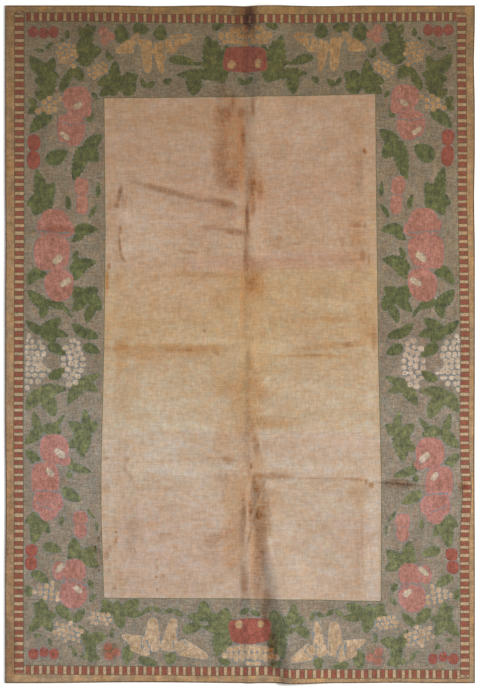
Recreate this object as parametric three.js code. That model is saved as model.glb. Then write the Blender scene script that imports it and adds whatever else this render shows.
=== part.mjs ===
// A room-size hand-knotted wool rug, lying flat with its pile up: one low-pile cloth with a plain
// field inside a wide border, and a yarn-whipped cord along each of its four edges. The cloth keeps
// the folds of a rug that was stored folded: a tall slanting pleat at the foot, a softer one at the
// head, and low creases across the field.
// Millimetres. X runs across the rug, Y along it towards the head, Z up from the floor. The origin
// is on the floor at the middle of the rug.
import * as THREE from "three";

// Overall size, with the whipped edges.
const WIDTH = 2745;
const LENGTH = 3960;
// Height of the pile and its woven ground together.
const CLOTH_THICK = 7;

// The whipped edge is a cord beside the cloth: an eight-sided bar, flat side down.
const WHIP = { across: 7, high: 7, sides: 8 };
// Free space between two pieces that lie against each other.
const GAP = 0.3;

// Each fold is a crest that runs through its stations. rise is the crest's height over the floor
// side of the cloth. left and right are how far the cloth takes to come down again on either side,
// seen when walking the stations in order.
const FOLDS = [
  {
    name: "head pleat",
    stations: [
      { x: 113, y: 1980, rise: 24, left: 210, right: 100 },
      { x: 110, y: 1660, rise: 20, left: 200, right: 96 },
      { x: 98, y: 1370, rise: 12, left: 170, right: 80 },
      { x: 70, y: 1020, rise: 6, left: 90, right: 55 },
      { x: 68, y: 465, rise: 5, left: 75, right: 50 },
      { x: 70, y: -10, rise: 5, left: 75, right: 50 },
      { x: 64, y: -730, rise: 4, left: 70, right: 50 },
    ],
  },
  {
    name: "foot pleat",
    stations: [
      { x: 93, y: -760, rise: 3, left: 90, right: 60 },
      { x: 123, y: -1000, rise: 10, left: 160, right: 65 },
      { x: 163, y: -1170, rise: 16, left: 210, right: 75 },
      { x: 210, y: -1380, rise: 22, left: 250, right: 85 },
      { x: 263, y: -1610, rise: 26, left: 270, right: 95 },
      { x: 300, y: -1980, rise: 30, left: 280, right: 100 },
    ],
  },
  {
    name: "foot wrinkle",
    stations: [
      { x: 53, y: -740, rise: 3, left: 50, right: 45 },
      { x: 35, y: -1085, rise: 7, left: 55, right: 50 },
      { x: 41, y: -1405, rise: 8, left: 60, right: 55 },
      { x: 60, y: -1980, rise: 7, left: 60, right: 55 },
    ],
  },
  {
    name: "slanting crease",
    stations: [
      { x: -600, y: 950, rise: 4, left: 60, right: 60 },
      { x: -330, y: 886, rise: 7, left: 60, right: 60 },
      { x: -60, y: 816, rise: 5, left: 60, right: 60 },
    ],
  },
  {
    name: "upper cross crease",
    stations: [
      { x: -720, y: 428, rise: 3, left: 60, right: 60 },
      { x: 760, y: 430, rise: 4, left: 60, right: 60 },
    ],
  },
  {
    name: "middle cross crease",
    stations: [
      { x: -720, y: -18, rise: 4, left: 60, right: 60 },
      { x: 790, y: -6, rise: 4, left: 60, right: 60 },
    ],
  },
  {
    name: "lower cross crease",
    stations: [
      { x: -700, y: -712, rise: 4, left: 60, right: 60 },
      { x: 53, y: -738, rise: 5, left: 60, right: 60 },
      { x: 760, y: -805, rise: 6, left: 60, right: 60 },
      { x: 1080, y: -826, rise: 5, left: 60, right: 60 },
    ],
  },
];
// A crease that ends inside the cloth flattens out over this distance.
const FADE = 90;

// Places where an edge is drawn in: at is the place along the edge, reach is half the length that
// the dip takes, and depth is how far in it goes.
const EDGE_DIPS = {
  west: [
    { at: 620, reach: 420, depth: 2 },
    { at: -900, reach: 500, depth: 3 },
  ],
  east: [
    { at: 1640, reach: 260, depth: 5 },
    { at: 840, reach: 300, depth: 4 },
    { at: -700, reach: 600, depth: 2 },
  ],
  north: [
    { at: -480, reach: 300, depth: 4 },
    { at: 70, reach: 220, depth: 5 },
    { at: 480, reach: 260, depth: 4 },
  ],
  south: [
    { at: -560, reach: 700, depth: 5 },
    { at: 900, reach: 300, depth: 2 },
  ],
};

// The cloth's grid lines, a row for each band: lines stand step apart up to the band's end.
// They are close where a fold is steep and far apart where the cloth is flat.
const COLUMN_BANDS = [
  { upTo: -640, step: 150 },
  { upTo: -60, step: 72 },
  { upTo: 400, step: 24 },
  { upTo: 600, step: 50 },
  { upTo: Infinity, step: 150 },
];
const ROW_BANDS = [
  { upTo: -920, step: 105 },
  { upTo: -650, step: 30 },
  { upTo: -100, step: 110 },
  { upTo: 100, step: 29 },
  { upTo: 340, step: 120 },
  { upTo: 520, step: 30 },
  { upTo: 740, step: 110 },
  { upTo: 1040, step: 33 },
  { upTo: Infinity, step: 105 },
];

const WOOL = { roughness: 0.95, metalness: 0 };
const PILE_COLOUR = "#b3957a";
const WHIP_COLOUR = "#6f5536";

// A bell from 1 at the crest to 0 at one half-width away, level at both.
const bell = (share) => (Math.abs(share) < 1 ? Math.cos((share * Math.PI) / 2) ** 2 : 0);

const mix = (a, b, share) => a + (b - a) * share;

// How high one fold lifts the cloth at a place: its crest's height there, times the bell of the
// distance from the crest.
function foldLift(fold, x, y) {
  let best = { distance: Infinity };
  for (let i = 0; i + 1 < fold.stations.length; i++) {
    const a = fold.stations[i];
    const b = fold.stations[i + 1];
    const along = new THREE.Vector2(b.x - a.x, b.y - a.y);
    const away = new THREE.Vector2(x - a.x, y - a.y);
    const share = away.dot(along) / along.lengthSq();
    const held = THREE.MathUtils.clamp(share, 0, 1);
    const nearest = along.clone().multiplyScalar(held);
    const distance = away.distanceTo(nearest);
    if (distance < best.distance) {
      best = { distance, a, b, held, past: Math.abs(share - held) * along.length(), side: along.cross(away) };
    }
  }
  const { a, b, held, past, side } = best;
  const key = side > 0 ? "left" : "right";
  const across = Math.sqrt(Math.max(best.distance ** 2 - past ** 2, 0));
  return mix(a.rise, b.rise, held) * bell(across / mix(a[key], b[key], held)) * bell(past / FADE);
}

// The cloth's height over the floor: where folds meet, the taller one shows.
function lift(x, y) {
  return Math.max(...FOLDS.map((fold) => foldLift(fold, x, y)));
}

// How far an edge is drawn in at a place along it.
function drawnIn(dips, at) {
  return dips.reduce((sum, dip) => sum + dip.depth * bell((at - dip.at) / dip.reach), 0);
}

// Grid lines from low to high, with each band's step made a little larger or smaller to fit.
function gridLines(bands, low, high) {
  const lines = [low];
  let start = low;
  for (const band of bands) {
    const end = Math.min(band.upTo, high);
    if (end <= start) {
      continue;
    }
    const steps = Math.max(1, Math.round((end - start) / band.step));
    for (let i = 1; i <= steps; i++) {
      lines.push(mix(start, end, i / steps));
    }
    start = end;
  }
  return lines;
}

// The cloth reaches to the cords, which lie outside it.
const EDGE_ROOM = WHIP.across + GAP;
const HALF_WIDTH = WIDTH / 2 - EDGE_ROOM;
const HALF_LENGTH = LENGTH / 2 - EDGE_ROOM;
const COLUMNS = gridLines(COLUMN_BANDS, -HALF_WIDTH, HALF_WIDTH);
const ROWS = gridLines(ROW_BANDS, -HALF_LENGTH, HALF_LENGTH);

// A place of the plain rectangle, moved to where the uneven cloth has it: full dip at the edge
// itself, none past the middle of the rug.
function settle(x, y) {
  const east = Math.max(x / HALF_WIDTH, 0) ** 8;
  const west = Math.max(-x / HALF_WIDTH, 0) ** 8;
  const north = Math.max(y / HALF_LENGTH, 0) ** 8;
  const south = Math.max(-y / HALF_LENGTH, 0) ** 8;
  return new THREE.Vector2(
    x + west * drawnIn(EDGE_DIPS.west, y) - east * drawnIn(EDGE_DIPS.east, y),
    y + south * drawnIn(EDGE_DIPS.south, x) - north * drawnIn(EDGE_DIPS.north, x),
  );
}

// The cloth: a flat box whose grid corners are moved to the grid lines, then lifted by the folds.
function makeCloth() {
  const cells = { across: COLUMNS.length - 1, along: ROWS.length - 1 };
  const geometry = new THREE.BoxGeometry(cells.across, cells.along, 1, cells.across, cells.along, 1);
  const corners = geometry.attributes.position;
  for (let i = 0; i < corners.count; i++) {
    const x = COLUMNS[Math.round(corners.getX(i) + cells.across / 2)];
    const y = ROWS[Math.round(corners.getY(i) + cells.along / 2)];
    const place = settle(x, y);
    const top = corners.getZ(i) > 0 ? CLOTH_THICK : 0;
    corners.setXYZ(i, place.x, place.y, lift(x, y) + top);
  }
  geometry.computeVertexNormals();
  return geometry;
}

// A cord that follows an edge of the cloth: a bar whose rings are moved to the edge's stations.
// centre gives a ring's middle on the floor plane, and outward the way that faces away from the
// cloth.
function makeWhip(stations, centre, outward) {
  const steps = stations.length - 1;
  // The bar's flat sides, not its corners, touch the circle.
  const radius = 1 / Math.cos(Math.PI / WHIP.sides);
  const turn = Math.PI / WHIP.sides;
  const geometry = new THREE.CylinderGeometry(radius, radius, steps, WHIP.sides, steps, false, turn);
  const corners = geometry.attributes.position;
  for (let i = 0; i < corners.count; i++) {
    const at = stations[Math.round(corners.getY(i) + steps / 2)];
    const middle = centre(at);
    const out = (corners.getX(i) * WHIP.across) / 2;
    const up = ((corners.getZ(i) + 1) * WHIP.high) / 2;
    corners.setXYZ(i, middle.x + outward.x * out, middle.y + outward.y * out, middle.lift + up);
  }
  geometry.computeVertexNormals();
  return geometry;
}

// A side cord runs the rug's whole length, past the ends of the cloth and of the end cords.
function makeSideWhip(sign) {
  const stations = [-LENGTH / 2, ...ROWS.slice(1, -1), LENGTH / 2];
  const outward = new THREE.Vector2(sign, 0);
  const centre = (y) => {
    const place = settle(sign * HALF_WIDTH, y);
    return { x: place.x + sign * (GAP + WHIP.across / 2), y, lift: lift(sign * HALF_WIDTH, y) };
  };
  return makeWhip(sign > 0 ? stations : stations.reverse(), centre, outward);
}

// An end cord lies between the two side cords and rides over the pleats with the cloth.
function makeEndWhip(sign) {
  const outward = new THREE.Vector2(0, sign);
  const centre = (x) => {
    const place = settle(x, sign * HALF_LENGTH);
    return { x: place.x, y: place.y + sign * (GAP + WHIP.across / 2), lift: lift(x, sign * HALF_LENGTH) };
  };
  return makeWhip(sign > 0 ? [...COLUMNS].reverse() : COLUMNS, centre, outward);
}

function addMesh(group, name, geometry, colour) {
  const mesh = new THREE.Mesh(geometry, new THREE.MeshStandardMaterial({ color: colour, ...WOOL }));
  mesh.name = name;
  group.add(mesh);
}

const rug = new THREE.Group();
addMesh(rug, "pile_cloth", makeCloth(), PILE_COLOUR);
addMesh(rug, "side_whipping_left", makeSideWhip(-1), WHIP_COLOUR);
addMesh(rug, "side_whipping_right", makeSideWhip(1), WHIP_COLOUR);
addMesh(rug, "end_whipping_head", makeEndWhip(1), WHIP_COLOUR);
addMesh(rug, "end_whipping_foot", makeEndWhip(-1), WHIP_COLOUR);

export default rug;
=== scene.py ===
"""A room-size hand-knotted wool rug, spread flat on a pale floor and seen from straight above.

The rug's plan is charted in squares, as a weaver's cartoon is: a square is two knots each way. The
chart's sheet has a margin, so its first squares lie outside the cloth. Places on the chart are
(across, down) in squares from the sheet's upper left corner.
"""

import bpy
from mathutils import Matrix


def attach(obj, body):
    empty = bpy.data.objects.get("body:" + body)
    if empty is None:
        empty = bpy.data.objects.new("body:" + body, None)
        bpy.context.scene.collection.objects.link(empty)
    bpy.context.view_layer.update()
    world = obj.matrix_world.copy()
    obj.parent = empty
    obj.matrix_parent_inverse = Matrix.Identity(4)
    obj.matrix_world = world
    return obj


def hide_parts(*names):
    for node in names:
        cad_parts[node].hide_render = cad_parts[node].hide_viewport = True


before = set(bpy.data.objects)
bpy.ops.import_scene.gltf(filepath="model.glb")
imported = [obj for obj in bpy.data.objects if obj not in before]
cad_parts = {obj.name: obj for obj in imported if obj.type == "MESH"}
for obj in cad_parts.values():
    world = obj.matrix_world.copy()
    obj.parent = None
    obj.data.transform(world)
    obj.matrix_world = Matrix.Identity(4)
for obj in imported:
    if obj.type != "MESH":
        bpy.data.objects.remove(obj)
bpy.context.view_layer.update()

import logging
import math
from collections.abc import Iterable
from dataclasses import dataclass
from dataclasses import field
from enum import Enum
from functools import cached_property

import bpy
import numpy as np

log = logging.getLogger("rug")

# Lengths are in metres, and in chart squares where a name or a table says so.
MM = 0.001
KNOT = 2.92 * MM
SQUARE = 2 * KNOT
# The chart place that lies over the middle of the cloth.
CHART_MIDDLE = (240.0, 344.25)
# The picture's frame, in squares: what the camera takes in at the floor.
PICTURE = (480, 688)

CLOTH_NODE = "pile_cloth"
PILE_HEIGHT = 7 * MM
CORD_NODES = ("side_whipping_left", "side_whipping_right", "end_whipping_head", "end_whipping_foot")


def linear(hex_colour: str) -> tuple[float, float, float, float]:
    """Turns an sRGB hex colour into linear light.

    Args:
        hex_colour: six hex digits after a hash.

    Returns:
        Red, green, blue and an alpha of 1, in linear light.
    """
    shares = [int(hex_colour[i : i + 2], 16) / 255 for i in (1, 3, 5)]
    light = [s / 12.92 if s <= 0.04045 else ((s + 0.055) / 1.055) ** 2.4 for s in shares]
    return (*light, 1.0)


def rows(table: str) -> list[tuple[float, ...]]:
    """Reads the numbers of a table, a tuple for each line under the columns' names."""
    return [tuple(map(float, line.split())) for line in table.strip().splitlines()[1:]]


class Dye(Enum):
    """The dyed wools of the pattern."""

    LEAF = "#525733"
    OLD_LEAF = "#53552d"
    YOUNG_LEAF = "#5d5f3d"
    MADDER = "#834738"
    CORAL = "#956659"
    ROSE = "#956859"
    AMBER = "#9e7e59"
    IVORY = "#a79680"
    STRAW = "#a1886a"


# The folds that the cloth's solid has too, in millimetres from the middle of the rug: the crest's
# place, how high it lifts the cloth, and how far the cloth takes to come down on each side, seen
# when walking the stations in order.
FOLDS = {
    "head pleat": """
x y rise left right
113 1980 24 210 100
110 1660 20 200 96
98 1370 12 170 80
70 1020 6 90 55
68 465 5 75 50
70 -10 5 75 50
64 -730 4 70 50
""",
    "foot pleat": """
x y rise left right
93 -760 3 90 60
123 -1000 10 160 65
163 -1170 16 210 75
210 -1380 22 250 85
263 -1610 26 270 95
300 -1980 30 280 100
""",
    "foot wrinkle": """
x y rise left right
53 -740 3 50 45
35 -1085 7 55 50
41 -1405 8 60 55
60 -1980 7 60 55
""",
    "slanting crease": """
x y rise left right
-600 950 4 60 60
-330 886 7 60 60
-60 816 5 60 60
""",
    "upper cross crease": """
x y rise left right
-720 428 3 60 60
760 430 4 60 60
""",
    "middle cross crease": """
x y rise left right
-720 -18 4 60 60
790 -6 4 60 60
""",
    "lower cross crease": """
x y rise left right
-700 -712 4 60 60
53 -738 5 60 60
760 -805 6 60 60
1080 -826 5 60 60
""",
}
# A fold that ends inside the cloth flattens out over this distance.
FOLD_FADE = 90 * MM

# Places where an edge is drawn in, as the cloth's solid has them, in millimetres.
EDGE_DIPS = {
    "west": """
at reach depth
620 420 2
-900 500 3
""",
    "east": """
at reach depth
1640 260 5
840 300 4
-700 600 2
""",
    "north": """
at reach depth
-480 300 4
70 220 5
480 260 4
""",
    "south": """
at reach depth
-560 700 5
900 300 2
""",
}

# Sharp creases on top of the folds, each from one chart place to the next. height is in
# millimetres, less than 0 for a trough, and broad is how far the crease fades, in squares. The last
# column is how much darker the wool is along it: partly dirt in the crease, partly painted shade.
CREASES = """
from_x from_y to_x to_y height broad soil
247 4 247 90 2.5 3 0.2
247 90 247 180 1.2 3 0
247 180 249 203 1.4 1.8 0.06
249 203 249 236 1.8 1.4 0.2
246 236 246 345 1.4 2 0.08
248 345 249 475 1.2 1.6 0.16
137 182 188 193 2.2 4 0.06
188 193 236 206 2 4 0.08
204 227 245 233 -2.2 3 0.16
120 182 126 206 1.6 1.8 0.12
126 206 119 238 1.6 1.8 0.06
119 238 127 275 1.8 1.8 0.1
24 231 104 229 -2.4 4 0.12
24 212 104 211 1.4 1.6 0.04
24 458 104 460 1.6 1.6 0.08
24 487 72 487 1.2 1.6 0.04
250 260 370 259 -2 3 0.08
252 271 370 272 1.4 2 0
110 348 247 346 2 2.2 0.05
250 346 376 350 1.6 2.2 0.03
265 282 290 325 1.4 2 0
250 350 262 388 1.4 2 0.03
250 432 368 433 1.4 1.8 0
267 479 248 523 2 1.6 0
215 464 240 470 2.4 1.8 0.02
240 470 256 466 3 2 0.1
256 466 276 464 2.2 1.8 0.02
219 458 236 461 -2 2 0.1
252 475 310 478 2.4 2.4 0.05
310 478 381 482 2.4 2.4 0.08
381 482 422 486 -2 3 0.14
133 448 125 466 1.8 2 0.05
125 466 135 482 1.8 2 0.08
135 500 134 560 1.4 3.6 0.04
252 478 248 540 -2.4 3 0.1
262 503 249 540 2.2 1.8 0
249 540 250 600 2 2.2 0.02
262 480 264 650 -2.4 4 0.12
265 530 280 590 1.2 2.4 0
280 590 293 660 1.4 2.6 0
"""

# Leaves are sprays of pointed blades, each from its base to its tip on the chart. broad is the
# blade's width. The tables give the left half of the rug.
HEAD_LEAVES = """
base_x base_y tip_x tip_y broad
67.5 39 67.5 29 5
60 41 65 39.5 3.5
46 49.5 53.5 41.5 4.5
44.5 50.5 34.5 49.5 4
85.5 67 85.5 34 18
86.5 48 87.5 23 10
86 37 96 25.5 8.5
85 37 78.5 26 7.5
84 51 102 50.5 14
47.5 98 44.5 62 17
44.5 75 29.5 55.5 12
44.5 75 60 76.5 10
47 74 54 57 10
44 80 34 80 8
46 99.5 34 90.5 8
39 107 27.5 113.5 8.5
36.5 105 28 98.5 7.5
60.5 92 72.5 67 8.5
75 67 83.5 81.5 11
113 96.5 115 60.5 13.5
114 80 97 84.5 11
111 86 99.5 96 9
118 86 138.5 74.5 12
128.5 96.5 127.5 71 16
109.5 61 107 49 5
108.5 58 115 57 4
145.5 88 141 77.5 5
146 87.5 155.5 81 6
163 83.5 172 78.5 6.5
122.5 43.5 121 24 14.5
132 28 149.5 29.5 12
160 40.5 161.5 23.5 13
168.5 59 197.5 65 9
194 64.5 204 62 3.5
218.5 82 207 35.5 18.5
221 84 227.5 44.5 13.5
217 82 215.5 40 14
216 66 198.5 62.5 7
219 77 175.5 75 10
193 74.5 193.5 96 15
211.5 28.5 225 24.5 8
245 85 237 76.5 5
"""
UPPER_SIDE_LEAVES = """
base_x base_y tip_x tip_y broad
89.5 122.5 90.5 106 7
92 92.5 98 100 4.5
51.5 113.5 29.5 133 12.5
46 162 67.5 151 15
84 151 102.5 134.5 12.5
84.5 149 98.5 162 13.5
82.5 146 73 181 13
40 207 36.5 169 13
40 207 54.5 182 14
44 197 26.5 205.5 12
40 198 34 216 13
44 194 48.5 212 13
68.5 210 66.5 194 5.5
97.5 198 98.5 181 4.5
89 218 98.5 204 4.5
74 229.5 98 230 11
83 231 71.5 242 8
74 261 78 250 5.5
69.5 270.5 96.5 261.5 12.5
84 266 73 280.5 10
38.5 268 27 285.5 10.5
35.5 276 47 273.5 8.5
83 296 98.5 288.5 12.5
85 297 69.5 287.5 13
87 292 71.5 312 11.5
89.5 294 101 311 12.5
94 304 86.5 323.5 9.5
48 306 27.5 290 11.5
46 303 41.5 319 9.5
48 299 65 309 11.5
61 305 72.5 318.5 4
45 333.5 25.5 320 9
41 334 61.5 318.5 12
41 327 56 342 12
47 330 68.5 336 9
85 336.5 71.5 323.5 9
79 332.5 99 337.5 10
82.5 346 100.5 352.5 9.5
47.5 344.5 66 355 10
48.5 378 65.5 368 9.5
"""
LOWER_SIDE_LEAVES = """
base_x base_y tip_x tip_y broad
79 381 101.5 373.5 8
80.5 383 98.5 391 9.5
84 378 67 404.5 12.5
37 391.5 67 389 11
42 390 25.5 410.5 12.5
41 392 55 417 14.5
40.5 432 33.5 411 8.5
42 428 24.5 444.5 11.5
42 427.5 62 432.5 12
51 429 65 414.5 5.5
86 432 84.5 408.5 9
86 431 98 422 10.5
86 435 68 421.5 11.5
84 425 82 457.5 16.5
84 439 66.5 447.5 10
25 450.5 41.5 460.5 8.5
33 453 32 464.5 6.5
67 464 92 472.5 8.5
71 465 70.5 456 5.5
69.5 479 69 469.5 6
62 488.5 82 501 11.5
62 516 61.5 527.5 5
87 508.5 96 519.5 3.5
96 521.5 96.5 533 3
37.5 519 33 544.5 12.5
34.5 517 50 533.5 10.5
38 518 24.5 523 10
36.5 523 32 511.5 10.5
42.5 545.5 62 551.5 10
76 561 73.5 537 13.5
78 556 66 556 9
79 560 97 546 13
80 554 99 567 12
"""
FOOT_LEAVES = """
base_x base_y tip_x tip_y broad
31 572 49.5 583.5 9.5
30 597 27 584.5 8.5
88 579.5 93.5 589.5 6
96 594 89 602.5 5
42.5 621 42 598 13.5
41.5 616.5 57 615.5 10
43 613.5 28 632.5 10.5
42.5 615 52.5 632 10.5
42 610 32.5 602 7
56.5 605 71.5 621.5 11.5
72.5 622 85 609 8.5
90 645.5 79 625 10.5
88 641.5 107.5 636 11.5
89.5 638.5 90.5 664 11
89 656 79.5 657 6.5
90.5 653.5 100.5 660.5 7.5
33.5 636 43 635.5 4
47.5 638.5 52 646.5 4.5
72.5 647.5 76.5 658 4.5
67.5 646.5 73.5 647 2.5
111.5 612.5 101.5 599.5 10
117 615 117 600 11
123 615 140 600 13
121 610 99 611.5 10.5
122.5 612.5 145.5 614 8
116.5 612 122 629.5 11.5
112.5 628 111.5 639.5 5
152 606.5 142 612.5 5
152 606.5 162.5 612 5
174 609.5 162.5 613.5 5
174 609.5 183.5 616.5 6
203.5 619.5 203 600 12.5
207 617.5 187 616 9.5
204 617.5 223 618.5 10.5
222 632 226.5 607.5 17.5
223.5 624 216.5 657 17.5
225.5 629.5 202 627 9
224 633 231 646 11
182 631.5 204 625 10.5
129.5 645 126.5 665.5 11.5
138 658.5 158.5 665.5 9
170.5 652 169.5 666 12
218 659.5 231.5 664 7.5
249.5 608.5 239 614 6
"""

# Round fruit and full-blown flower heads, on the chart's left half. square is 2 for an oval, and
# more for a boxier head.
MADDER_FRUIT = """
x y wide high turn square
33 32 11 12.5 0 2
53.5 32 11 12.5 0 2
43.5 33 10.5 12 0 2
34 142.5 14 17 0 2.3
33.5 160 14 19 0 2.3
31.5 550.5 13 13 0 2.6
31 563.5 13 13.5 0 2.6
33.5 654 11.5 12 0 2.3
44 652 9.5 11 0 2.3
54 654 10.5 11.5 0 2.3
"""
ROSE_FRUIT = """
x y wide high turn square
103.5 31.5 11 11.5 0 2
110.5 36.5 9.5 10 0 2
104.5 41 10 9.5 0 2
81.5 186.5 15 18.5 0 2.8
82 204.8 13 20 0 3
80 518.5 16 16.5 0 2.4
80.5 531 14 15 0 2.4
108 647 9.5 9.5 0 2.4
116.5 653 10 9.5 0 2.4
109 656.5 10 9.5 0 2.4
"""
CORAL_HEADS = """
x y wide high turn square
77 99.5 29 28 0 2.2
80 110 24 16 0 2.6
71 129 29.5 34 0 2.4
42 226 12 18 0 2.2
66 229 17 18 0 2.2
54.5 222 31 27 0 2.2
51.5 252.5 37 36 0 2.8
59 285 30 33 0 2.2
64.5 460 12.5 12.5 0 2
54 449 30 31 0 2.2
45 480 29 37 0 2.6
47.5 502 31.5 25 0 2.4
48 511 20 20 0 2
59.5 570.5 15 20 0 2.2
74.5 571 23 24 0 2.4
73.5 593.5 28 30 0 2.4
"""
# Light petals and eyes on the heads and the fruit. turn is clockwise from level, in degrees.
IVORY_GLINTS = """
x y wide high turn square
78 105.5 9 5.5 -35 3
65 136 11.5 5 40 3
57.5 259.5 11 7 -40 3
65.5 282.5 12.5 6 -32 3
60 453.5 13 6.5 42 3
50 472.5 10 5.5 50 3
60.5 567.5 12 5.5 -42 3
78 589.5 10 5.5 42 3
"""

# Bunches of berries: berries stand pitch apart in rows inside an oval. The pale ones are laid out
# one by one.
AMBER_BERRIES = """
x y wide high turn pitch
67 54 24 24 12 4.7
74 66.5 6 6 0 5.4
98 70.5 26 21 -30 4.8
49.5 105.5 34 19.5 -28 6.2
"""
STRAW_BERRIES = """
x y wide high turn pitch
100 619 28 17 8 5
68 632 34 24 18 5.1
"""
IVORY_BERRIES = """
x y wide high
28.9 335.7 5.2 5.2
27.4 340.6 3.5 5
32 341.6 5.2 5.4
39.4 342.3 5.4 5.4
27.6 347 5.8 5.2
34 346.9 6.8 5.4
42.2 347.6 6.8 5.6
26.5 352.8 4.4 5.4
31.7 353.2 5.2 5.6
37.6 353.2 6.2 6
43.8 353.9 5.8 6
28.4 358.2 6.8 5.4
34.7 358.3 5.6 5.4
40.2 359 6.2 5.6
28.5 363.3 6.4 5.2
34.8 363.7 5.8 5.6
40.8 364 6.2 5.2
26.7 369 4.6 5.8
31.8 369.3 5.6 5.8
38 369.2 6.6 6.2
44.4 368.8 6.4 6.2
49 370.3 4.6 4
28 374.8 6.2 5
34.6 375.2 6.6 5
42.7 375.2 8.4 4.8
26.4 380.8 4.2 5.6
30.9 381.7 5.2 5.6
38 381.2 6 6.4
27.3 387.6 5.6 5.6
72.6 340.4 7.2 5.4
78.3 343 5 5
65.3 347.8 6.6 5.6
71.7 346.4 6 4.8
78.6 348.2 6 6
68.8 352 6 5
74 351.2 5.6 6.2
80.6 353.6 6 5.6
63.5 358.6 5.6 5.4
70 357.6 6 5.6
76 356.4 6 4.8
82.8 358.9 6.2 4.8
63.5 365 6.2 5.8
70.8 363.4 6.2 6
76.2 361.2 5.4 4.8
76.2 365.6 5 4.6
82.6 364.6 7 5
67.8 369.6 6.6 6
75.6 370 5.6 4.4
81.1 370.4 6.4 5.4
72.8 374 6.2 5
65 375.4 6.2 4.6
69.6 378.6 6.8 5.2
77.8 376.2 6 5.6
69 384.2 6.6 5.8
75.5 382.2 6 5.8
"""

# Plump pods and fruit, from stalk to blunt tip, with their width at each. The middle ones are
# charted for the whole width.
AMBER_PODS = """
base_x base_y tip_x tip_y at_base at_tip
133.5 45.5 115 51.7 17.5 5
131 46 138 33.5 11 5.5
171 43.5 194.3 35.7 17 5.5
168 36 193 34.5 3 4
171 37.5 171 53.8 14 13
161.5 40 164 62 9 6
154 41.5 163 74.5 9 6.5
146 38 148 74 13.5 8.5
"""
STRAW_PODS = """
base_x base_y tip_x tip_y at_base at_tip
145 645 121 635.5 19 4.5
150 655 130 646 8 9
151 653 153.5 616.5 20 10.5
168 653 174 617 19 8.5
177 645.5 209 658 21 6
"""
# Rounded ends of the pods, and the small pale berries of one bunch.
AMBER_KNUCKLES = """
x y wide high turn square
147 61 5 15 0 2.2
138 34.5 4 3.5 0 2
141 42 6 7 0 2.4
168 44 7 9 0 2.4
"""
STRAW_KNUCKLES = """
x y wide high turn square
164 645.5 7.5 12 0 2.4
171 647 5.5 10 0 2.4
147 646 7 9 0 2.4
180 645 9 8 0 2.4
34.6 591.9 5.4 5.2 0 2.4
40 587.9 5.6 5 0 2.4
46.6 586.6 5.8 6 0 2.4
52.8 583.4 4.8 6.4 0 2.4
40.4 593.2 5.6 5.4 0 2.4
46.2 592.4 5.4 5.2 0 2.4
52 589 5.4 5.4 0 2.4
51.6 594.4 5.2 5 0 2.4
57.3 593.4 5 6 0 2.4
45.4 597.6 5.4 5.2 0 2.4
57.5 599.2 5.4 5.8 0 2.4
51.6 599 5 4.2 0 2.4
"""
MIDDLE_FRUIT = """
base_x base_y tip_x tip_y at_base at_tip
245.5 45.5 245 73 40 47
249.5 617.5 250.5 644.5 45 38
"""
MIDDLE_AMBER = """
x y wide high turn square
221 36 6.9 8.4 0 2.4
227.5 35.5 5.9 7.9 0 2.4
225 41.8 6.4 5.4 0 2.4
230.5 41.2 5.9 5.4 0 2.4
232.5 30.5 7.9 7.9 0 3
232.5 37.2 6.4 5.9 0 2.4
238.5 33 5.5 12.9 0 2.4
237 42 8.4 6.9 0 2.4
245 28.5 7.4 8.9 0 2.4
245 36.5 8.9 7.4 0 2.4
244.5 43 8.9 6.9 0 2.4
252 34 6.9 9.9 0 2.4
253.5 41.5 7.9 6.9 0 2.4
258.5 28.5 8.9 6.9 0 3
258.5 36.8 6.9 6.4 0 2.4
260.5 42.2 6.4 5.9 0 2.4
264 34.5 5.5 9.9 0 2.4
269.5 35.5 6.4 8.4 0 2.4
266 41.5 5.4 5.9 0 2.4
231.5 64.8 8 8.5 20 2.4
258 64 6 9 0 2.4
239 624.3 7 8 0 2.4
261 624 6.5 7 0 2.4
"""
MIDDLE_STRAW = """
x y wide high turn square
230 650 6.9 6.8 0 2.2
236 648.6 6.7 7.6 0 2.2
241.6 648 6.7 7.8 0 2.2
247.6 648 7.7 7.6 0 2.2
254 648 7.7 7.6 0 2.2
260 648.6 6.7 7.6 0 2.2
265.2 649.2 6.3 7.6 0 2.2
270.2 650.6 6.7 6.6 0 2.2
225 655.6 6.7 6.6 0 2.2
230.8 655.6 6.1 6.6 0 2.2
236 657.4 6.3 10.6 0 2.2
242.2 656.6 6.3 11.2 0 2.2
248.2 655.2 6.5 8.6 0 2.2
254.4 656 6.7 9.2 0 2.2
260.4 655.8 6.3 9.6 0 2.2
265.8 657.6 5.9 10.2 0 2.2
271.4 656 6.1 7.6 0 2.2
276.8 657.4 5.9 6.6 0 2.2
249 663.4 8.3 5.2 0 3
257 663.4 7.9 5.2 0 3
"""

# Single drawn lines: stems outside a figure, seams and petal edges inside one.
DRAWN_LINES = """
from_x from_y to_x to_y
44.5 39 44.5 50
40.5 143 56.5 142
56.5 142 68 144
58 121 72 125
72 125 86 122
36 231 70 233
70 262 72 250
35 490 58 492
36 503 52 510
57 585 73 580
73 580 86 586
48 638 45 650
80 640 86 657
141.5 637 141.5 652
146 640 151 652
157.5 637 157.5 650
173.5 640 173 652
183 640 189 647
189 647 180 653
176 628 177 637
136 37 136 54
151.5 40 154 47
163.5 40 164.5 56
171.5 38 186 38
173 40 173.5 47
121 634 114 633
114 633 110 628
245 73 245 85
249.5 607 250 618
152.5 607 153 617
174 608 173.5 618
"""

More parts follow.
